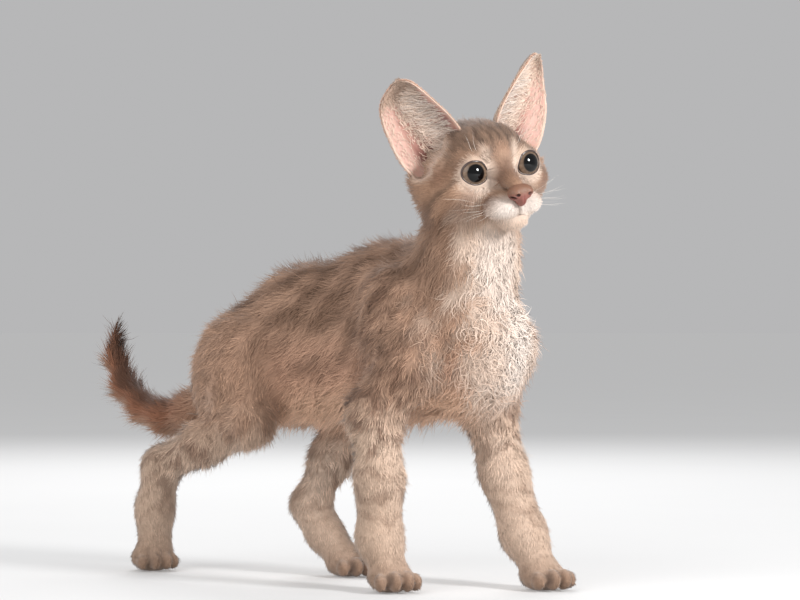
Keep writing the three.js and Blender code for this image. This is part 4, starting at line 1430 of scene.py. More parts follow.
    def scattered(self, count: int, random: np.random.Generator, front: bool) -> dict[str, Points]:
        """Random places on one side of the ear with what the coat needs there.

        Args:
            count: how many.
            random: the seeded generator.
            front: the side that faces forwards.

        Returns:
            Roots, the way out, the way to the tip, the way across, and s and t.
        """
        s = random.uniform(-0.99, 0.99, count)
        t = random.uniform(0.02, 0.985, count)
        lift = np.full(count, -self.thickness / 2 if front else self.thickness * 0.35)
        root = self.sheet(s, t, lift)
        up = unit(self.sheet(s, np.minimum(t + 0.01, 1), lift) - self.sheet(s, t - 0.01, lift))
        across = unit(self.sheet(s + 0.01, t, lift) - self.sheet(s - 0.01, t, lift))
        out = unit(np.cross(up, across))
        back = np.array(self.back) * [1, self.side, 1]
        facing = np.sign((out @ back) * (-1 if front else 1))
        out = out * facing[:, None]
        turn = self.form.head.direction
        return {
            "root": self.form.head.outward(root),
            "out": turn(out),
            "up": turn(up),
            "across": turn(across),
            "s": s,
            "t": t,
        }


@dataclass
class Eyes:
    """Both eyeballs with their irises, and the dark moist rims of the lids."""

    form: Form
    lids: Lids
    pupil: float = 4.75
    iris: float = 7.2
    rim_radius: float = 0.42
    rim_height: float = 0.32
    rim_sides: int = 8

    def ball(self, side: int, finish: bpy.types.Material) -> bpy.types.Object:
        """An eyeball whose rings run round the gaze."""
        label = "left" if side > 0 else "right"
        bm = bmesh.new()
        gaze = Matrix(self.lids.gaze(side, True).tolist()).to_4x4() @ Matrix.Rotation(math.pi / 2, 4, "Y")
        place = self.form.head.matrix() @ (Matrix.Translation(self.form.eye_at(side)) @ gaze)
        radius = self.form.eye_radius
        bmesh.ops.create_uvsphere(bm, u_segments=72, v_segments=90, radius=radius, matrix=place)
        p = places(bm.verts)
        rel = (self.form.head.inward(p) - self.form.eye_at(side)) @ self.lids.gaze(side, True)
        off = np.hypot(rel[:, 1], rel[:, 2]) + np.where(rel[:, 0] < 0, 20, 0)
        spoke = np.arctan2(rel[:, 2], rel[:, 1])
        fibres = 0.5 + 0.5 * np.sin(spoke * 37 + 3 * np.sin(spoke * 11) + off * 0.8)
        wash = Wash(Hue.IRIS, len(p))
        wash.colour *= (0.82 + 0.3 * fibres * step(4, 6, off))[:, None]
        wash.over(Hue.IRIS_INNER, 0.7 * step(self.pupil + 1.3, self.pupil + 0.3, off))
        wash.over(Hue.IRIS_EDGE, step(self.iris - 0.7, self.iris, off))
        wash.over(Hue.EYE_WHITE, step(self.iris + 0.4, self.iris + 1.4, off))
        wash.over(Hue.PUPIL, step(self.pupil + 0.25, self.pupil - 0.1, off))
        obj = from_bmesh(f"eyeball_{label}", bm)
        paint(obj.data, wash.colour)
        dressed(obj, "eye", finish, f"eye_{label}")
        return obj

    def rim(self, side: int, finish: bpy.types.Material) -> bpy.types.Object:
        """The moist edge of both lids: a thin round bead that runs round the opening."""
        label = "left" if side > 0 else "right"
        loop = self.lids.loop(side)
        centre = self.form.eye_at(side)
        out = unit(loop - centre)
        ahead = unit(np.roll(loop, -1, axis=0) - np.roll(loop, 1, axis=0))
        aside = unit(np.cross(ahead, out))
        clock = np.arctan2(*((loop - centre) @ self.lids.gaze(side)).T[[2, 1]])
        thick = self.rim_radius * (1.0 + 0.35 * step(-0.2, 0.9, np.sin(clock)))
        bm = bmesh.new()
        rings = []
        for spot, up, sideways, size in zip(loop, out, aside, thick):
            ring = []
            for k in range(self.rim_sides):
                angle = 2 * math.pi * k / self.rim_sides
                high = self.rim_height + 0.8 * size * math.sin(angle)
                at = spot + up * high + sideways * size * 1.2 * math.cos(angle)
                ring.append(bm.verts.new(self.form.head.outward(at[None, :])[0]))
            rings.append(ring)
        for one, other in zip(rings, rings[1:] + rings[:1]):
            for k in range(self.rim_sides):
                bm.faces.new((one[k], one[k - 1], other[k - 1], other[k]))
        bmesh.ops.recalc_face_normals(bm, faces=bm.faces)
        obj = from_bmesh(f"lid_rim_{label}", bm)
        paint(obj.data, Wash(Hue.LID_RIM, len(obj.data.vertices)).colour)
        dressed(obj, "coat", finish)
        return obj


@dataclass
class Nose:
    """The nose leather with its two nostrils."""

    form: Form
    middle: tuple[float, float, float] = (37.5, 0, -13.4)
    reach: float = 12.0
    nostril_depth: float = 1.6
    groove_depth: float = 0.35

    def shape(self) -> Melt:
        """The leather's form in the head's frame."""
        return Melt(
            3,
            (
                *both(lambda s: Blob((38.2, 3.6 * s, -12.8), (4.6, 3.4, 3.6))),
                Blob((37.2, 0, -11.8), (4.4, 4.2, 3.4)),
                Blob((37.4, 0, -16.4), (4.4, 2.3, 3.8)),
            ),
        )

    def nostril_shade(self, local: Points) -> np.ndarray:
        """1 in the comma-shaped openings, 0 outside."""
        side = np.abs(local[:, 1])
        hole = np.hypot((side - 4.0) / 1.5, (local[:, 2] + 13.9) / 0.9)
        slit = np.hypot((side - 5.7) / 1.6, (local[:, 2] + 14.9 - 0.5 * (side - 5.7)) / 0.55)
        return np.maximum(step(1.2, 0.6, hole), step(1.2, 0.6, slit)) * (local[:, 0] > 37)

    def build(self, finish: bpy.types.Material) -> bpy.types.Object:
        """Makes the nose from a ball pulled onto its shape."""
        bm = bmesh.new()
        bmesh.ops.create_icosphere(bm, subdivisions=6, radius=1.0)
        middle = np.array(self.middle)
        direction = unit(places(bm.verts))
        shape = self.shape()
        low, high = np.zeros(len(direction)), np.full(len(direction), self.reach)
        for _ in range(26):
            mid = (low + high) / 2
            inside = shape(middle + direction * mid[:, None]) < 0
            low, high = np.where(inside, mid, low), np.where(inside, high, mid)
        local = middle + direction * low[:, None]
        hole = self.nostril_shade(local)
        groove = hill(local[:, 1], 0, 0.5) * step(-13.5, -15.5, local[:, 2]) * (local[:, 0] > 38)
        pressed = low - self.nostril_depth * hole - self.groove_depth * groove
        local = middle + direction * pressed[:, None]
        move(bm.verts, self.form.head.outward(local))
        nose = from_bmesh("nose_leather", bm)
        wash = Wash(Hue.LEATHER, len(local))
        wash.over(Hue.CHEEK_DARK, 0.9 * step(-15.2, -11.8, local[:, 2]))
        # Painted shade in the pressed-in nostrils and in the groove down the nose.
        wash.over(Hue.NOSTRIL_SHADE, 0.95 * hole)
        wash.over(Hue.NOSE_GROOVE_SHADE, 0.7 * groove)
        paint(nose.data, wash.colour)
        dressed(nose, "nose_skin", finish, "nose")
        return nose


# The coat


@dataclass
class Tufts:
    """Many thin tapered tufts, each a small closed solid, kept as arrays until they are joined."""

    root: Points
    out: Points
    lay: Points
    length: np.ndarray
    width: np.ndarray
    lift: np.ndarray
    wave: np.ndarray
    base: Points
    tip: Points
    uv: Points
    phase: np.ndarray
    rings: int = 3
    thick: float = 0.45
    sink: float = 0.9
    round: float = 0.55

    def mesh(self, name: str) -> bpy.types.Mesh:
        """Joins the tufts in one mesh, each with three sides, a closed root and a pointed tip."""
        count, rings = len(self.root), self.rings
        side = unit(np.cross(self.out, self.lay))
        shares = np.linspace(0, 1, rings + 1)
        widths = np.interp(shares, [0, 0.3, 0.7, 1.0], [0.8, 1.0, 0.75, 0.0])
        verts = np.empty((count, rings * 3 + 1, 3))
        tints = np.empty((count, rings * 3 + 1, 3))
        facing = np.empty((count, rings * 3 + 1, 3))
        for k, share in enumerate(shares):
            rise = self.lift * share ** 1.4 - self.sink * (1 - share) ** 3
            bow = 1 - 0.35 * (self.lift / self.length) ** 2 * share
            run = self.length * share * np.sqrt(np.maximum(bow, 0.2))
            sway = self.wave * (np.sin(self.phase + share * 5.0) - np.sin(self.phase))
            centre = self.root + self.lay * run[:, None] + self.out * rise[:, None] + side * sway[:, None]
            tint = self.base + (self.tip - self.base) * share
            if k == rings:
                verts[:, -1] = centre
                tints[:, -1] = tint
                facing[:, -1] = self.out
                continue
            facing[:, 3 * k] = unit(self.out - side * self.round)
            facing[:, 3 * k + 1] = unit(self.out + side * self.round)
            facing[:, 3 * k + 2] = self.out
            half = side * (self.width * widths[k] / 2)[:, None]
            up = self.out * (self.width * widths[k] * self.thick)[:, None]
            verts[:, 3 * k] = centre - half
            verts[:, 3 * k + 1] = centre + half
            verts[:, 3 * k + 2] = centre + up
            for corner in range(3):
                tints[:, 3 * k + corner] = tint
        verts[..., 2] = np.maximum(verts[..., 2], CLEARANCE)
        quads = [
            (3 * k + a, 3 * k + b, 3 * k + 3 + b, 3 * k + 3 + a)
            for k in range(rings - 1)
            for a, b in ((0, 1), (1, 2), (2, 0))
        ]
        last, apex = 3 * (rings - 1), 3 * rings
        tris = [(0, 2, 1)] + [(last + a, last + b, apex) for a, b in ((0, 1), (1, 2), (2, 0))]
        pattern = np.array([corner for quad in quads for corner in quad] + [c for tri in tris for c in tri])
        sizes = np.array([4] * len(quads) + [3] * len(tris))
        loops = (pattern[None, :] + (np.arange(count) * (apex + 1))[:, None]).ravel()
        starts = np.concatenate([[0], np.cumsum(np.tile(sizes, count))[:-1]])
        mesh = bpy.data.meshes.new(name)
        mesh.vertices.add(count * (apex + 1))
        mesh.vertices.foreach_set("co", placed(verts.reshape(-1, 3)).ravel())
        mesh.loops.add(len(loops))
        mesh.loops.foreach_set("vertex_index", loops.astype(np.int32))
        mesh.polygons.add(len(starts))
        mesh.polygons.foreach_set("loop_start", starts.astype(np.int32))
        mesh.polygons.foreach_set("use_smooth", np.ones(len(starts), dtype=bool))
        mesh.update(calc_edges=True)
        paint(mesh, tints.reshape(-1, 3))
        self.write_patches(mesh, pattern, apex, count)
        if self.round < 2:
            mesh.normals_split_custom_set_from_vertices(facing.reshape(-1, 3))
        return mesh

    def write_patches(self, mesh: bpy.types.Mesh, pattern: np.ndarray, apex: int, count: int) -> None:
        """Gives each tuft a small patch of the bake map at its root's place on the skin."""
        corner = np.arange(apex + 1)
        u = np.array([0.0, 1.0, 0.5] * self.rings + [0.5])[corner]
        v = np.append(np.repeat(np.arange(self.rings) / self.rings, 3), 1.0)
        patch = np.stack([u, v], axis=1)[pattern] - 0.5
        spread = self.uv[:, None, :] + patch[None, :, :] * PATCH
        layer = mesh.uv_layers.new(name=UV_NAME)
        layer.uv.foreach_set("vector", np.clip(spread, 0, 1).reshape(-1))

    def taken(self, keep: np.ndarray) -> "Tufts":
        """Some of the tufts."""
        names = ("root", "out", "lay", "length", "width", "lift", "wave", "base", "tip", "uv", "phase")
        return replace(self, **{name: getattr(self, name)[keep] for name in names})


@dataclass
class Ground:
    """The skin's triangles, ready to scatter roots on."""

    corners: Points
    uvs: Points
    areas: np.ndarray

    @classmethod
    def of(cls, skin: bpy.types.Object) -> "Ground":
        """Reads the skin's triangles in millimetres of the kitten's frame."""
        mesh = skin.data
        mesh.calc_loop_triangles()
        count = len(mesh.loop_triangles)
        verts = np.empty(count * 3, dtype=np.int32)
        mesh.loop_triangles.foreach_get("vertices", verts)
        loops = np.empty(count * 3, dtype=np.int32)
        mesh.loop_triangles.foreach_get("loops", loops)
        flat = np.empty(len(mesh.loops) * 2)
        mesh.uv_layers[UV_NAME].uv.foreach_get("vector", flat)
        points = read_points(mesh) / MM + ORIGIN
        corners = points[verts].reshape(-1, 3, 3)
        cross = np.cross(corners[:, 1] - corners[:, 0], corners[:, 2] - corners[:, 0])
        return cls(corners, flat.reshape(-1, 2)[loops].reshape(-1, 3, 2), np.linalg.norm(cross, axis=1) / 2)

    def scattered(self, count: int, random: np.random.Generator, weight: np.ndarray) -> tuple[Points, Points]:
        """Random roots and their places on the bake map.

        Args:
            count: how many.
            random: the seeded generator.
            weight: the wanted density on each triangle.

        Returns:
            The roots and their map places.
        """
        share = self.areas * weight
        order = np.cumsum(share) / share.sum()
        spots = (np.arange(count) + random.random(count)) / count
        chosen = np.searchsorted(order, spots).clip(0, len(order) - 1)
        a, b = random.random(count), random.random(count)
        flip = a + b > 1
        a, b = np.where(flip, 1 - a, a), np.where(flip, 1 - b, b)
        weights = np.stack([1 - a - b, a, b], axis=1)
        root = (self.corners[chosen] * weights[:, :, None]).sum(axis=1)
        uv = (self.uvs[chosen] * weights[:, :, None]).sum(axis=1)
        return root, uv


@dataclass(frozen=True)
class Growth:
    """A layer's number of tufts, the rings in each, its own seed and how unruly it lies."""

    count: int
    rings: int
    seed: int
    unruly: float


class Layer(Enum):
    """The layers of the coat: a dense soft undercoat, longer loose hair over it, and the breast's curls."""

    UNDER = Growth(85000, 2, 5, 0.1)
    LOOSE = Growth(20000, 3, 12, 0.2)
    CURLS = Growth(2800, 7, 19, 0.2)


@dataclass
class Coat:
    """The whole coat: its lay, lengths, waves and markings, split into joined pieces."""

    form: Form
    markings: Markings
    lids: Lids
    piece_triangles: int = 190000
    length: ByPart = ByPart(7.0, 6.5, 4.6, 5.4, 2.2, 9.5)
    face_shorter: float = 2.0
    belly_longer: float = 7.5
    shin_shorter: float = 1.1
    lift: ByPart = ByPart(0.34, 0.32, 0.26, 0.36, 0.16, 0.32)
    back_lift: float = 0.22
    ruff_lift: float = 0.2
    ripple_lift: float = 0.18
    under: ByPart = ByPart(0.8, 0.9, 1.9, 1.0, 1.7, 1.4)
    loose: ByPart = ByPart(1.0, 0.9, 0.7, 1.4, 0.4, 2.2)
    paw_turn: float = -20.0
    reach: float = 0.8
    sway: Callable = field(default_factory=lambda: waves3(15, 31))
    curl: Callable = field(default_factory=lambda: waves3(6.5, 41))
    clump: Waves = field(default_factory=lambda: Waves(5.0, 51))

    def breast(self, p: Points, out: Points) -> np.ndarray:
        """1 on the breast, where the hair points forward and down."""
        return step(0.1, 0.6, out[:, 0]) * step(-10, 15, p[:, 0])

    def lay(self, p: Points, out: Points, kinds: dict[str, np.ndarray]) -> Points:
        """The way the hair lies, along the surface."""
        local = self.form.head.inward(p)
        side = np.sign(p[:, 1] - 3)
        trunk = np.stack([np.full(len(p), -1.0), 0.12 * side, -0.35 - 0.75 * np.abs(out[:, 1])], axis=1)
        trunk += self.breast(p, out)[:, None] * (np.array([0.5, 0, -1.1]) - trunk)
        neck = np.stack([-0.35 + 0.3 * out[:, 0], np.zeros(len(p)), np.full(len(p), -1.0)], axis=1)
        away = unit(local - np.array([44.0, 0, -10.0]))
        away[:, 2] += 0.35 * step(2, 14, local[:, 2]) - 0.3 * step(-8, -20, local[:, 2])
        head = self.form.head.direction(unit(away))
        leg = np.tile([-0.22, 0.0, -1.0], (len(p), 1))
        paw_turn = math.radians(self.paw_turn)
        paw = np.tile([math.cos(paw_turn), math.sin(paw_turn), -0.5], (len(p), 1))
        tail = self.tail_way(p) + out * 0.1
        ways = {"trunk": trunk, "neck": neck, "head": head, "leg": leg, "paw": paw, "tail": tail}
        return unit(sum(way * kinds[name][:, None] for name, way in ways.items()))

    def tail_way(self, p: Points) -> Points:
        """The way from the tail's root to its tip at the nearest place on it."""
        joints = np.array(self.form.tail, dtype=float)
        middles = (joints[1:] + joints[:-1]) / 2
        ways = unit(joints[1:] - joints[:-1])
        gaps = span(p[:, None, :] - middles[None, :, :])
        weights = np.exp(-gaps / 8)
        return unit((weights[:, :, None] * ways[None]).sum(axis=1))

    def lengths(self, p: Points, out: Points, kinds: dict[str, np.ndarray]) -> np.ndarray:
        """How long the coat is at points, in millimetres."""
        face = kinds["head"] * step(-2, 20, self.form.head.inward(p)[:, 0])
        belly = kinds["trunk"] * step(0.0, -0.8, out[:, 2]) * step(30, 5, p[:, 0])
        shin = kinds["leg"] * step(75, 35, p[:, 2])
        longer = self.belly_longer * belly - self.face_shorter * face
        return self.length(kinds) + longer - self.shin_shorter * shin

    def lifts(self, p: Points, out: Points, kinds: dict[str, np.ndarray]) -> np.ndarray:
        """How far the tips stand off the skin, as a share of the length."""
        back = kinds["trunk"] * step(0.3, 0.9, out[:, 2])
        ruff = kinds["head"] * step(0, -16, self.form.head.inward(p)[:, 0])
        rippled = self.ripple(p) * (kinds["leg"] + 0.5 * kinds["trunk"])
        more = self.back_lift * back + self.ruff_lift * ruff + self.ripple_lift * rippled
        return self.lift(kinds) + more

    def ripple(self, p: Points) -> np.ndarray:
        """The breed's close waves: bands across the legs and flanks, from -1 to 1."""
        return np.sin(p[:, 2] * 0.85 + 2.5 * self.clump(p * 0.4))

    def bare(self, p: Points) -> np.ndarray:
        """True where no tuft may root: in the eye openings, under the nose leather, in the lips."""
        local = self.form.head.inward(p)
        gone = Nose(self.form).shape()(local) < 0.4
        for side in (1, -1):
            edge, _, radius = self.lids.outside(local, side)
            gone |= (edge < 0.9) & (radius < 16)
        gone |= Mouth().nearness(local, 0.8) > 0.5
        gone |= self.form.cups(p) < 2.2
        return gone | (p[:, 2] < 1.2)

    def density(self, ground: Ground, layer: Layer) -> np.ndarray:
        """The wanted density on each of the ground's triangles."""
        middle = ground.corners.mean(axis=1)
        kinds = self.form.gathered(middle)
        if layer is Layer.CURLS:
            return self.curly(middle, self.form.slope(self.form.outline, middle, self.reach), kinds)
        face = kinds["head"] * step(4, 20, self.form.head.inward(middle)[:, 0])
        if layer is Layer.UNDER:
            return self.under(kinds) + 1.4 * face
        return self.loose(kinds) - 0.5 * face

    def curly(self, p: Points, out: Points, kinds: dict[str, np.ndarray]) -> np.ndarray:
        """Where the long curls grow: on the breast, and fewer along the belly."""
        breast = step(0.05, 0.6, out[:, 0]) * step(-14, 12, p[:, 0]) * step(185, 165, p[:, 2])
        belly = step(0.1, -0.6, out[:, 2]) * step(20, 0, p[:, 0])
        return kinds["trunk"] * np.maximum(breast, 0.55 * belly) + 0.3 * kinds["neck"] * breast + 1e-6

    def tousled(self, p: Points, out: Points, kinds: dict[str, np.ndarray]) -> Points:
        """The way the hair lies, with soft waves all over and tight ones on the breast."""
        wild = 0.32 * (kinds["trunk"] + kinds["neck"] + kinds["leg"])
        wild = wild + 0.1 * kinds["head"] + 0.25 * kinds["tail"]
        tight = 0.35 * wild + 0.5 * self.breast(p, out) * (kinds["trunk"] + 0.5 * kinds["neck"])
        lay = self.lay(p, out, kinds)
        return lay + self.sway(p) * wild[:, None] + self.curl(p) * tight[:, None]

    def shades(self, p: Points, kinds: dict[str, np.ndarray], random: np.random.Generator) -> np.ndarray:
        """How light each tuft is: its own tone by chance, and painted shade in the troughs of the ripples
        with painted light on their crests.
        """
        spread = (0.1 + 0.09 * (kinds["leg"] + kinds["paw"]))[:, None]
        chance = spread * random.uniform(-1, 1, (len(p), 1)) * (1 + 0.08 * self.clump(p))[:, None]
        # Painted shade and light of the coat's waves: darker troughs, lighter crests.
        ripple = 0.17 * self.ripple(p) * (kinds["leg"] + 0.3 * kinds["trunk"])
        return (1 + chance) * (1 + ripple)[:, None]

    def grow(self, ground: Ground, layer: Layer) -> Tufts:
        """Grows one layer of the body's coat.

        Args:
            ground: the skin's triangles.
            layer: the layer to grow.

        Returns:
            Its tufts.
        """
        random = np.random.default_rng(SEED + layer.value.seed)
        root, uv = ground.scattered(layer.value.count, random, self.density(ground, layer))
        keep = ~self.bare(root)
        root, uv = root[keep], uv[keep]
        count = len(root)
        out = self.form.slope(self.form.outline, root, self.reach)
        kinds = self.form.gathered(root)
        lay = self.tousled(root, out, kinds) + random.normal(size=(count, 3)) * layer.value.unruly
        lay = unit(lay - out * (lay * out).sum(axis=1)[:, None])
        length = self.lengths(root, out, kinds) * random.uniform(0.7, 1.2, count)
        length = np.where(self.bare(root + lay * length[:, None]), 0.35 * length, length)
        lift = self.lifts(root, out, kinds) * random.uniform(0.6, 1.3, count) + 0.1 * self.clump(root)
        colour = self.markings(root, out) * self.shades(root, kinds, random)
        # Painted shade and light: every tuft runs from darker at the root, deep in the coat, to lighter at
        # the tip.
        base, tip = colour * 0.88, colour * 1.08
        if layer is Layer.LOOSE:
            length, lift = length * 1.25, lift * 1.25 + 0.08
            dark = (random.random(count) < 0.45)[:, None]
            tip = np.where(dark, tip * 0.66, tip * 1.08)
            width = 0.2 + 0.12 * random.random(count)
        elif layer is Layer.CURLS:
            length, lift = random.uniform(8, 14, count), lift * 0.8
            width = random.uniform(0.35, 0.65, count)
            # Painted shade and light, stronger on the curls.
            base, tip = colour * 0.86, colour * 1.12
        else:
            width = 0.3 + 0.012 * length + 0.14 * random.random(count)
        width = width * (1 - 0.35 * kinds["head"] - 0.3 * kinds["paw"])
        lift = np.clip(lift, 0.08, 1.0) * length
        bend = 0.05 + 0.06 * self.breast(root, out) * (kinds["trunk"] + 0.5 * kinds["neck"])
        bend = bend + 0.06 * (layer is Layer.CURLS)
        wave = bend * length * np.sign(random.random(count) - 0.5)
        phase = random.uniform(0, 2 * math.pi, count)
        looks = (length, width, lift, wave, base, tip, uv, phase)
        return Tufts(root, out, lay, *looks, rings=layer.value.rings)

    def build(self, ground: Ground, finish: bpy.types.Material) -> None:
        """Grows every layer and writes it as joined pieces of at most piece_triangles triangles each."""
        for layer in Layer:
            tufts = self.grow(ground, layer)
            each = 6 * (tufts.rings - 1) + 4
            order = np.argsort(tufts.root[:, 0], kind="stable")
            pieces = math.ceil(len(order) / (self.piece_triangles // each))
            for number, chosen in enumerate(np.array_split(order, pieces), start=1):
                name = f"coat_{layer.name.lower()}_{number}"
                obj = new_object(name, tufts.taken(chosen).mesh(name))
                dressed(obj, "coat", finish)


@dataclass(frozen=True)
class Look:
    """How the tufts of one part of an ear are made; lift is a share of the length."""

    length: np.ndarray | float
    width: np.ndarray | float
    lift: float
    unruly: float
    rings: int = 2
    round: float = 3.0


@dataclass
class EarCoat:
    """Short brown hair behind the ears, long cream hair across their insides, a fringe on the edges."""

    ear: Ear
    behind_count: int = 3200
    inside_count: int = 2600
    edge_count: int = 1200

    def tufts(
        self, spots: dict[str, Points], random: np.random.Generator, look: Look, base: Points, tip: Points
    ) -> Tufts:
        """Tufts at scattered places of the ear.

        Args:
            spots: the places and the ways there.
            random: the seeded generator.
            look: how the tufts are made.
            base: the colours of their roots.
            tip: the colours of their tips.

        Returns:
            The tufts.
        """
        count = len(spots["root"])
        out = spots["out"]
        lay = spots["lay"] + random.normal(size=(count, 3)) * look.unruly
        lay = unit(lay - out * (lay * out).sum(axis=1)[:, None])
        length = look.length * random.uniform(0.65, 1.25, count)
        shade = random.uniform(0.86, 1.14, count)[:, None]
        width = look.width * random.uniform(0.8, 1.2, count)
        lift = length * look.lift * random.uniform(0.5, 1.3, count)
        wave = length * 0.05 * np.sign(random.random(count) - 0.5)
        phase = random.uniform(0, 2 * math.pi, count)
        uv = np.stack([0.5 + 0.4 * spots["s"], 0.5 + 0.4 * spots["t"]], axis=1)
        looks = (length, width, lift, wave, base * shade, tip * shade, uv, phase)
        return Tufts(spots["root"], out, lay, *looks, rings=look.rings, sink=0.3, round=look.round)

    def behind(self, random: np.random.Generator) -> Tufts:
        """The short coat on the ear's back."""
        spots = self.ear.scattered(self.behind_count, random, False)
        spots["lay"] = spots["up"]
        wash = Wash(Hue.EAR_BACK, self.behind_count)
        wash.over(Hue.DARK_FAWN, 0.4 * step(0.5, 0.05, spots["t"]))
        edge = np.maximum(step(0.68, 0.92, np.abs(spots["s"])), step(0.9, 0.98, spots["t"]))
        wash.over(Hue.CREAM, 0.9 * edge)
        look = Look(3.4 - 2.0 * edge, 0.5, 0.25, 0.15)
        # Painted shade and light: darker at the root, lighter at the tip.
        return self.tufts(spots, random, look, wash.colour * 0.85, wash.colour * 1.08)

    def inside(self, random: np.random.Generator) -> Tufts:
        """The long fine hair that sweeps from the inner edge across the cup, and the fur of the tip."""
        spots = self.ear.scattered(self.inside_count, random, True)
        s, t = spots["s"], spots["t"]
        bare = (t < 0.7) & (s > 0.2 + 0.3 * t) & (random.random(len(s)) > 0.3)
        spots = {name: value[~bare] for name, value in spots.items()}
        s, t = spots["s"], spots["t"]
        sweep = step(0.2, -0.8, s) * step(0.8, 0.5, t)
        upward, sideways = (1 - 0.35 * sweep)[:, None], (0.9 * sweep)[:, None]
        spots["lay"] = unit(spots["up"] * upward + spots["across"] * sideways)
        tip = step(0.5, 0.8, t)
        wash = Wash(Hue.CREAM, len(s))
        pale = random.random(len(s)) < 0.5
        wash.over(Hue.WHITE, 0.7 * sweep * pale)
        wash.over(Hue.MAUVE, 0.3 * step(0.7, 0.2, t) * ~pale)
        wash.over(Hue.EAR_BACK, (0.75 if self.ear.side < 0 else 0.25) * tip)
        look = Look(4.0 + 7.5 * sweep - 1.6 * tip, 0.34 + 0.06 * tip, 0.4, 0.26, 4, 0.55)
        # Painted shade and light: darker at the root, lighter at the tip.
        return self.tufts(spots, random, look, wash.colour * 0.9, wash.colour * 1.05)

    def edges(self, random: np.random.Generator) -> Tufts:
        """A fine fringe along both edges and the tip."""
        spots = self.ear.scattered(self.edge_count, random, False)
        which = random.random(self.edge_count) < 0.5
        s = np.where(which, -0.985, 0.985)
        t = random.uniform(0.12, 0.99, self.edge_count)
        lift = np.zeros(self.edge_count)
        root = self.ear.form.head.outward(self.ear.sheet(s, t, lift))
        inner = self.ear.form.head.outward(self.ear.sheet(s * 0.94, t, lift))
        spots.update(root=root, s=s, t=t, lay=unit(unit(root - inner) + 0.9 * spots["up"]))
        wash = Wash(Hue.ROSE, self.edge_count)
        wash.over(Hue.CREAM, random.random(self.edge_count) * 0.7)
        # Painted light: lighter at the tip.
        return self.tufts(spots, random, Look(1.2, 0.26, 0.2, 0.25), wash.colour, wash.colour * 1.1)

    def build(self, finish: bpy.types.Material) -> None:
        """Writes the ear's coat as three joined pieces."""
        random = np.random.default_rng(SEED + 60 + self.ear.side)
        layers = {"behind": self.behind, "inside": self.inside, "edge": self.edges}
        for label, grow in layers.items():
            name = f"ear_coat_{label}_{self.ear.label}"
            obj = new_object(name, grow(random).mesh(name))
            dressed(obj, "ear_skin", finish)


@dataclass
class Whiskers:
    """Long fine pale whiskers from the pads and over the eyes."""

    form: Form
    length: float = 21.0
    width: float = 0.11

    def build(self, finish: bpy.types.Material) -> bpy.types.Object:
        """Writes all the whiskers as one joined piece."""
        random = np.random.default_rng(SEED + 90)
        roots, lays, lengths = [], [], []
        for side in (1, -1):
            for row in range(3):
                for k in range(3):
                    height = -16.5 - 2.9 * row - 0.3 * k
                    roots.append((27 - 3.2 * k + row * 0.7, side * (15.0 + 1.3 * k), height))
                    lays.append((0.42 - 0.22 * k, side * 1.0, 0.22 - 0.24 * row))
                    lengths.append(self.length * (0.75 + 0.12 * k - 0.05 * row))
            for k in range(2):
                roots.append((20.0 - k, side * (12.5 + 2 * k), 10.8 + 0.5 * k))
                lays.append((0.6, side * (0.4 + 0.3 * k), 1.0))
                lengths.append(self.length * 0.55)
        root = self.form.head.outward(np.array(roots))
        face = self.form.regions["head"]
        out = self.form.slope(face, root)
        root = root - out * (face(root) + 2.2)[:, None]
        lay = self.form.head.direction(unit(np.array(lays)))
        lay = unit(lay - out * (lay * out).sum(axis=1)[:, None] * 0.35)
        count = len(root)
        size = np.array(lengths) * random.uniform(0.85, 1.1, count)
        pale = Wash(Hue.HORN, count).colour
        uv = np.tile([0.5, 0.5], (count, 1))
        phase = random.uniform(0, 2 * math.pi, count)
        looks = (size, np.full(count, self.width), size * 0.1, size * 0.03, pale, pale, uv, phase)
        tufts = Tufts(root, out, lay, *looks, rings=10, thick=0.85, sink=0.0, round=3.0)
        obj = new_object("whiskers", tufts.mesh("whiskers"))
        dressed(obj, "coat", finish)
        return obj


# The photographer's room


@dataclass(frozen=True)
class Lamp:
    """A soft round lamp: its place, aim and width in metres, and its power in watts."""

    name: str
    at: tuple[float, float, float]
    aim: tuple[float, float, float]
    size: float
    power: float

    def build(self) -> None:
        """Hangs the lamp and points it at its aim."""
        data = bpy.data.lights.new(self.name, "AREA")
        data.shape = "DISK"
        data.size = self.size
        data.energy = self.power
        obj = bpy.data.objects.new(self.name, data)
        obj.location = self.at
        obj.rotation_euler = (Vector(self.aim) - Vector(self.at)).to_track_quat("-Z", "Y").to_euler()
        bpy.context.scene.collection.objects.link(obj)


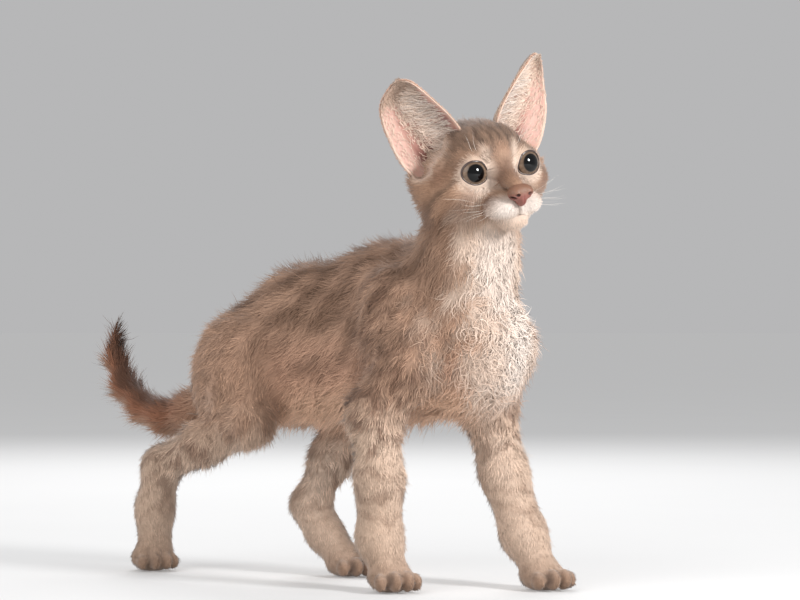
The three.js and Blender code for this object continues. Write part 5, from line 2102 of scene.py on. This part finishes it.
@dataclass(frozen=True)
class Studio:
    """The pale floor, the soft lights and the camera at the photograph's place."""

    camera_at: tuple[float, float, float] = (954.5, -1167.6, 140.0)
    azimuth: float = 40.0
    lens: float = 124.3
    sensor: float = 36.0
    shift: float = 0.0395
    floor_size: float = 400.0
    paper: Colour = (0.6, 0.6, 0.6)
    glow: float = 0.2
    backdrop: Colour = (0.86, 0.86, 0.87)
    daylight: float = 0.55
    lamps: tuple[Lamp, ...] = (
        Lamp("key", (1.5, 0.0, 0.66), (0.05, 0, 0.17), 0.34, 24.0),
        Lamp("fill", (0.1, -1.9, 1.1), (0, 0, 0.15), 2.0, 24.0),
        Lamp("rim", (-0.9, 1.0, 1.2), (0, 0, 0.18), 0.9, 14.0),
    )

    def floor(self) -> None:
        """A large pale floor with a faint unevenness, far enough out to meet the backdrop softly; an even
        glow of painted light brings it up to the backdrop's brightness.
        """
        bm = bmesh.new()
        bmesh.ops.create_grid(bm, x_segments=8, y_segments=8, size=self.floor_size / 2)
        obj = written("floor", bm)
        shader = Shader("floor_paper")
        light = 0.97 + 0.03 * shader.noise(6, 2.0)
        base = shader.node("ShaderNodeRGB", {}, {})
        base.output.default_value = (*self.paper, 1.0)
        shader.set(
            Base_Color=shader.shaded(base, light),
            Roughness=0.85,
            Specular_IOR_Level=0.0,
            # Painted light: the floor glows though it is no lamp.
            Emission_Color=(1.0, 1.0, 1.0, 1.0),
            Emission_Strength=self.glow,
        )
        obj.data.materials.append(shader.material)

    def build(self) -> None:
        """Sets up floor, light and camera."""
        self.floor()
        world = bpy.data.worlds.new("studio")
        bpy.context.scene.world = world
        world.use_nodes = True
        sky = world.node_tree.nodes["Background"].inputs
        sky["Color"].default_value = (*self.backdrop, 1.0)
        sky["Strength"].default_value = self.daylight
        for lamp in self.lamps:
            lamp.build()
        bpy.context.scene.view_settings.view_transform = "Standard"
        camera = bpy.data.cameras.new("camera")
        camera.lens = self.lens
        camera.sensor_width = self.sensor
        camera.shift_y = self.shift
        camera.clip_start = 0.05
        camera.clip_end = 1000.0
        obj = bpy.data.objects.new("camera", camera)
        obj.location = placed(np.array([self.camera_at]))[0]
        obj.rotation_euler = (math.pi / 2, 0.0, math.radians(self.azimuth))
        bpy.context.scene.collection.objects.link(obj)
        bpy.context.scene.camera = obj


def main() -> None:
    """Loads the frame, builds every piece in order and logs each piece's faces."""
    logging.basicConfig(level=logging.INFO, format="%(name)s %(message)s")
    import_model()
    Studio().build()
    form = Form()
    markings = Markings(form)
    lids = Lids(form)
    fur = Fur("coat_fur", bump=0.0).material()
    skin = Skin(form, markings, lids).build(Fur("coat_skin").material())
    eyes = Eyes(form, lids)
    wet, rim = WetEye().material(), LidRim().material()
    for side in (1, -1):
        eyes.ball(side, wet)
        eyes.rim(side, rim)
    Nose(form).build(NoseLeather().material())
    ear_skin = BareSkin().material()
    for side, (inner, outer) in EAR_EDGES.items():
        ear = Ear(form, side, inner, outer)
        ear.build(ear_skin)
        EarCoat(ear).build(fur)
    Coat(form, markings, lids).build(Ground.of(skin), fur)
    Whiskers(form).build(Whisker().material())
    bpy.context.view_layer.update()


if __name__ == "__main__":
    main()
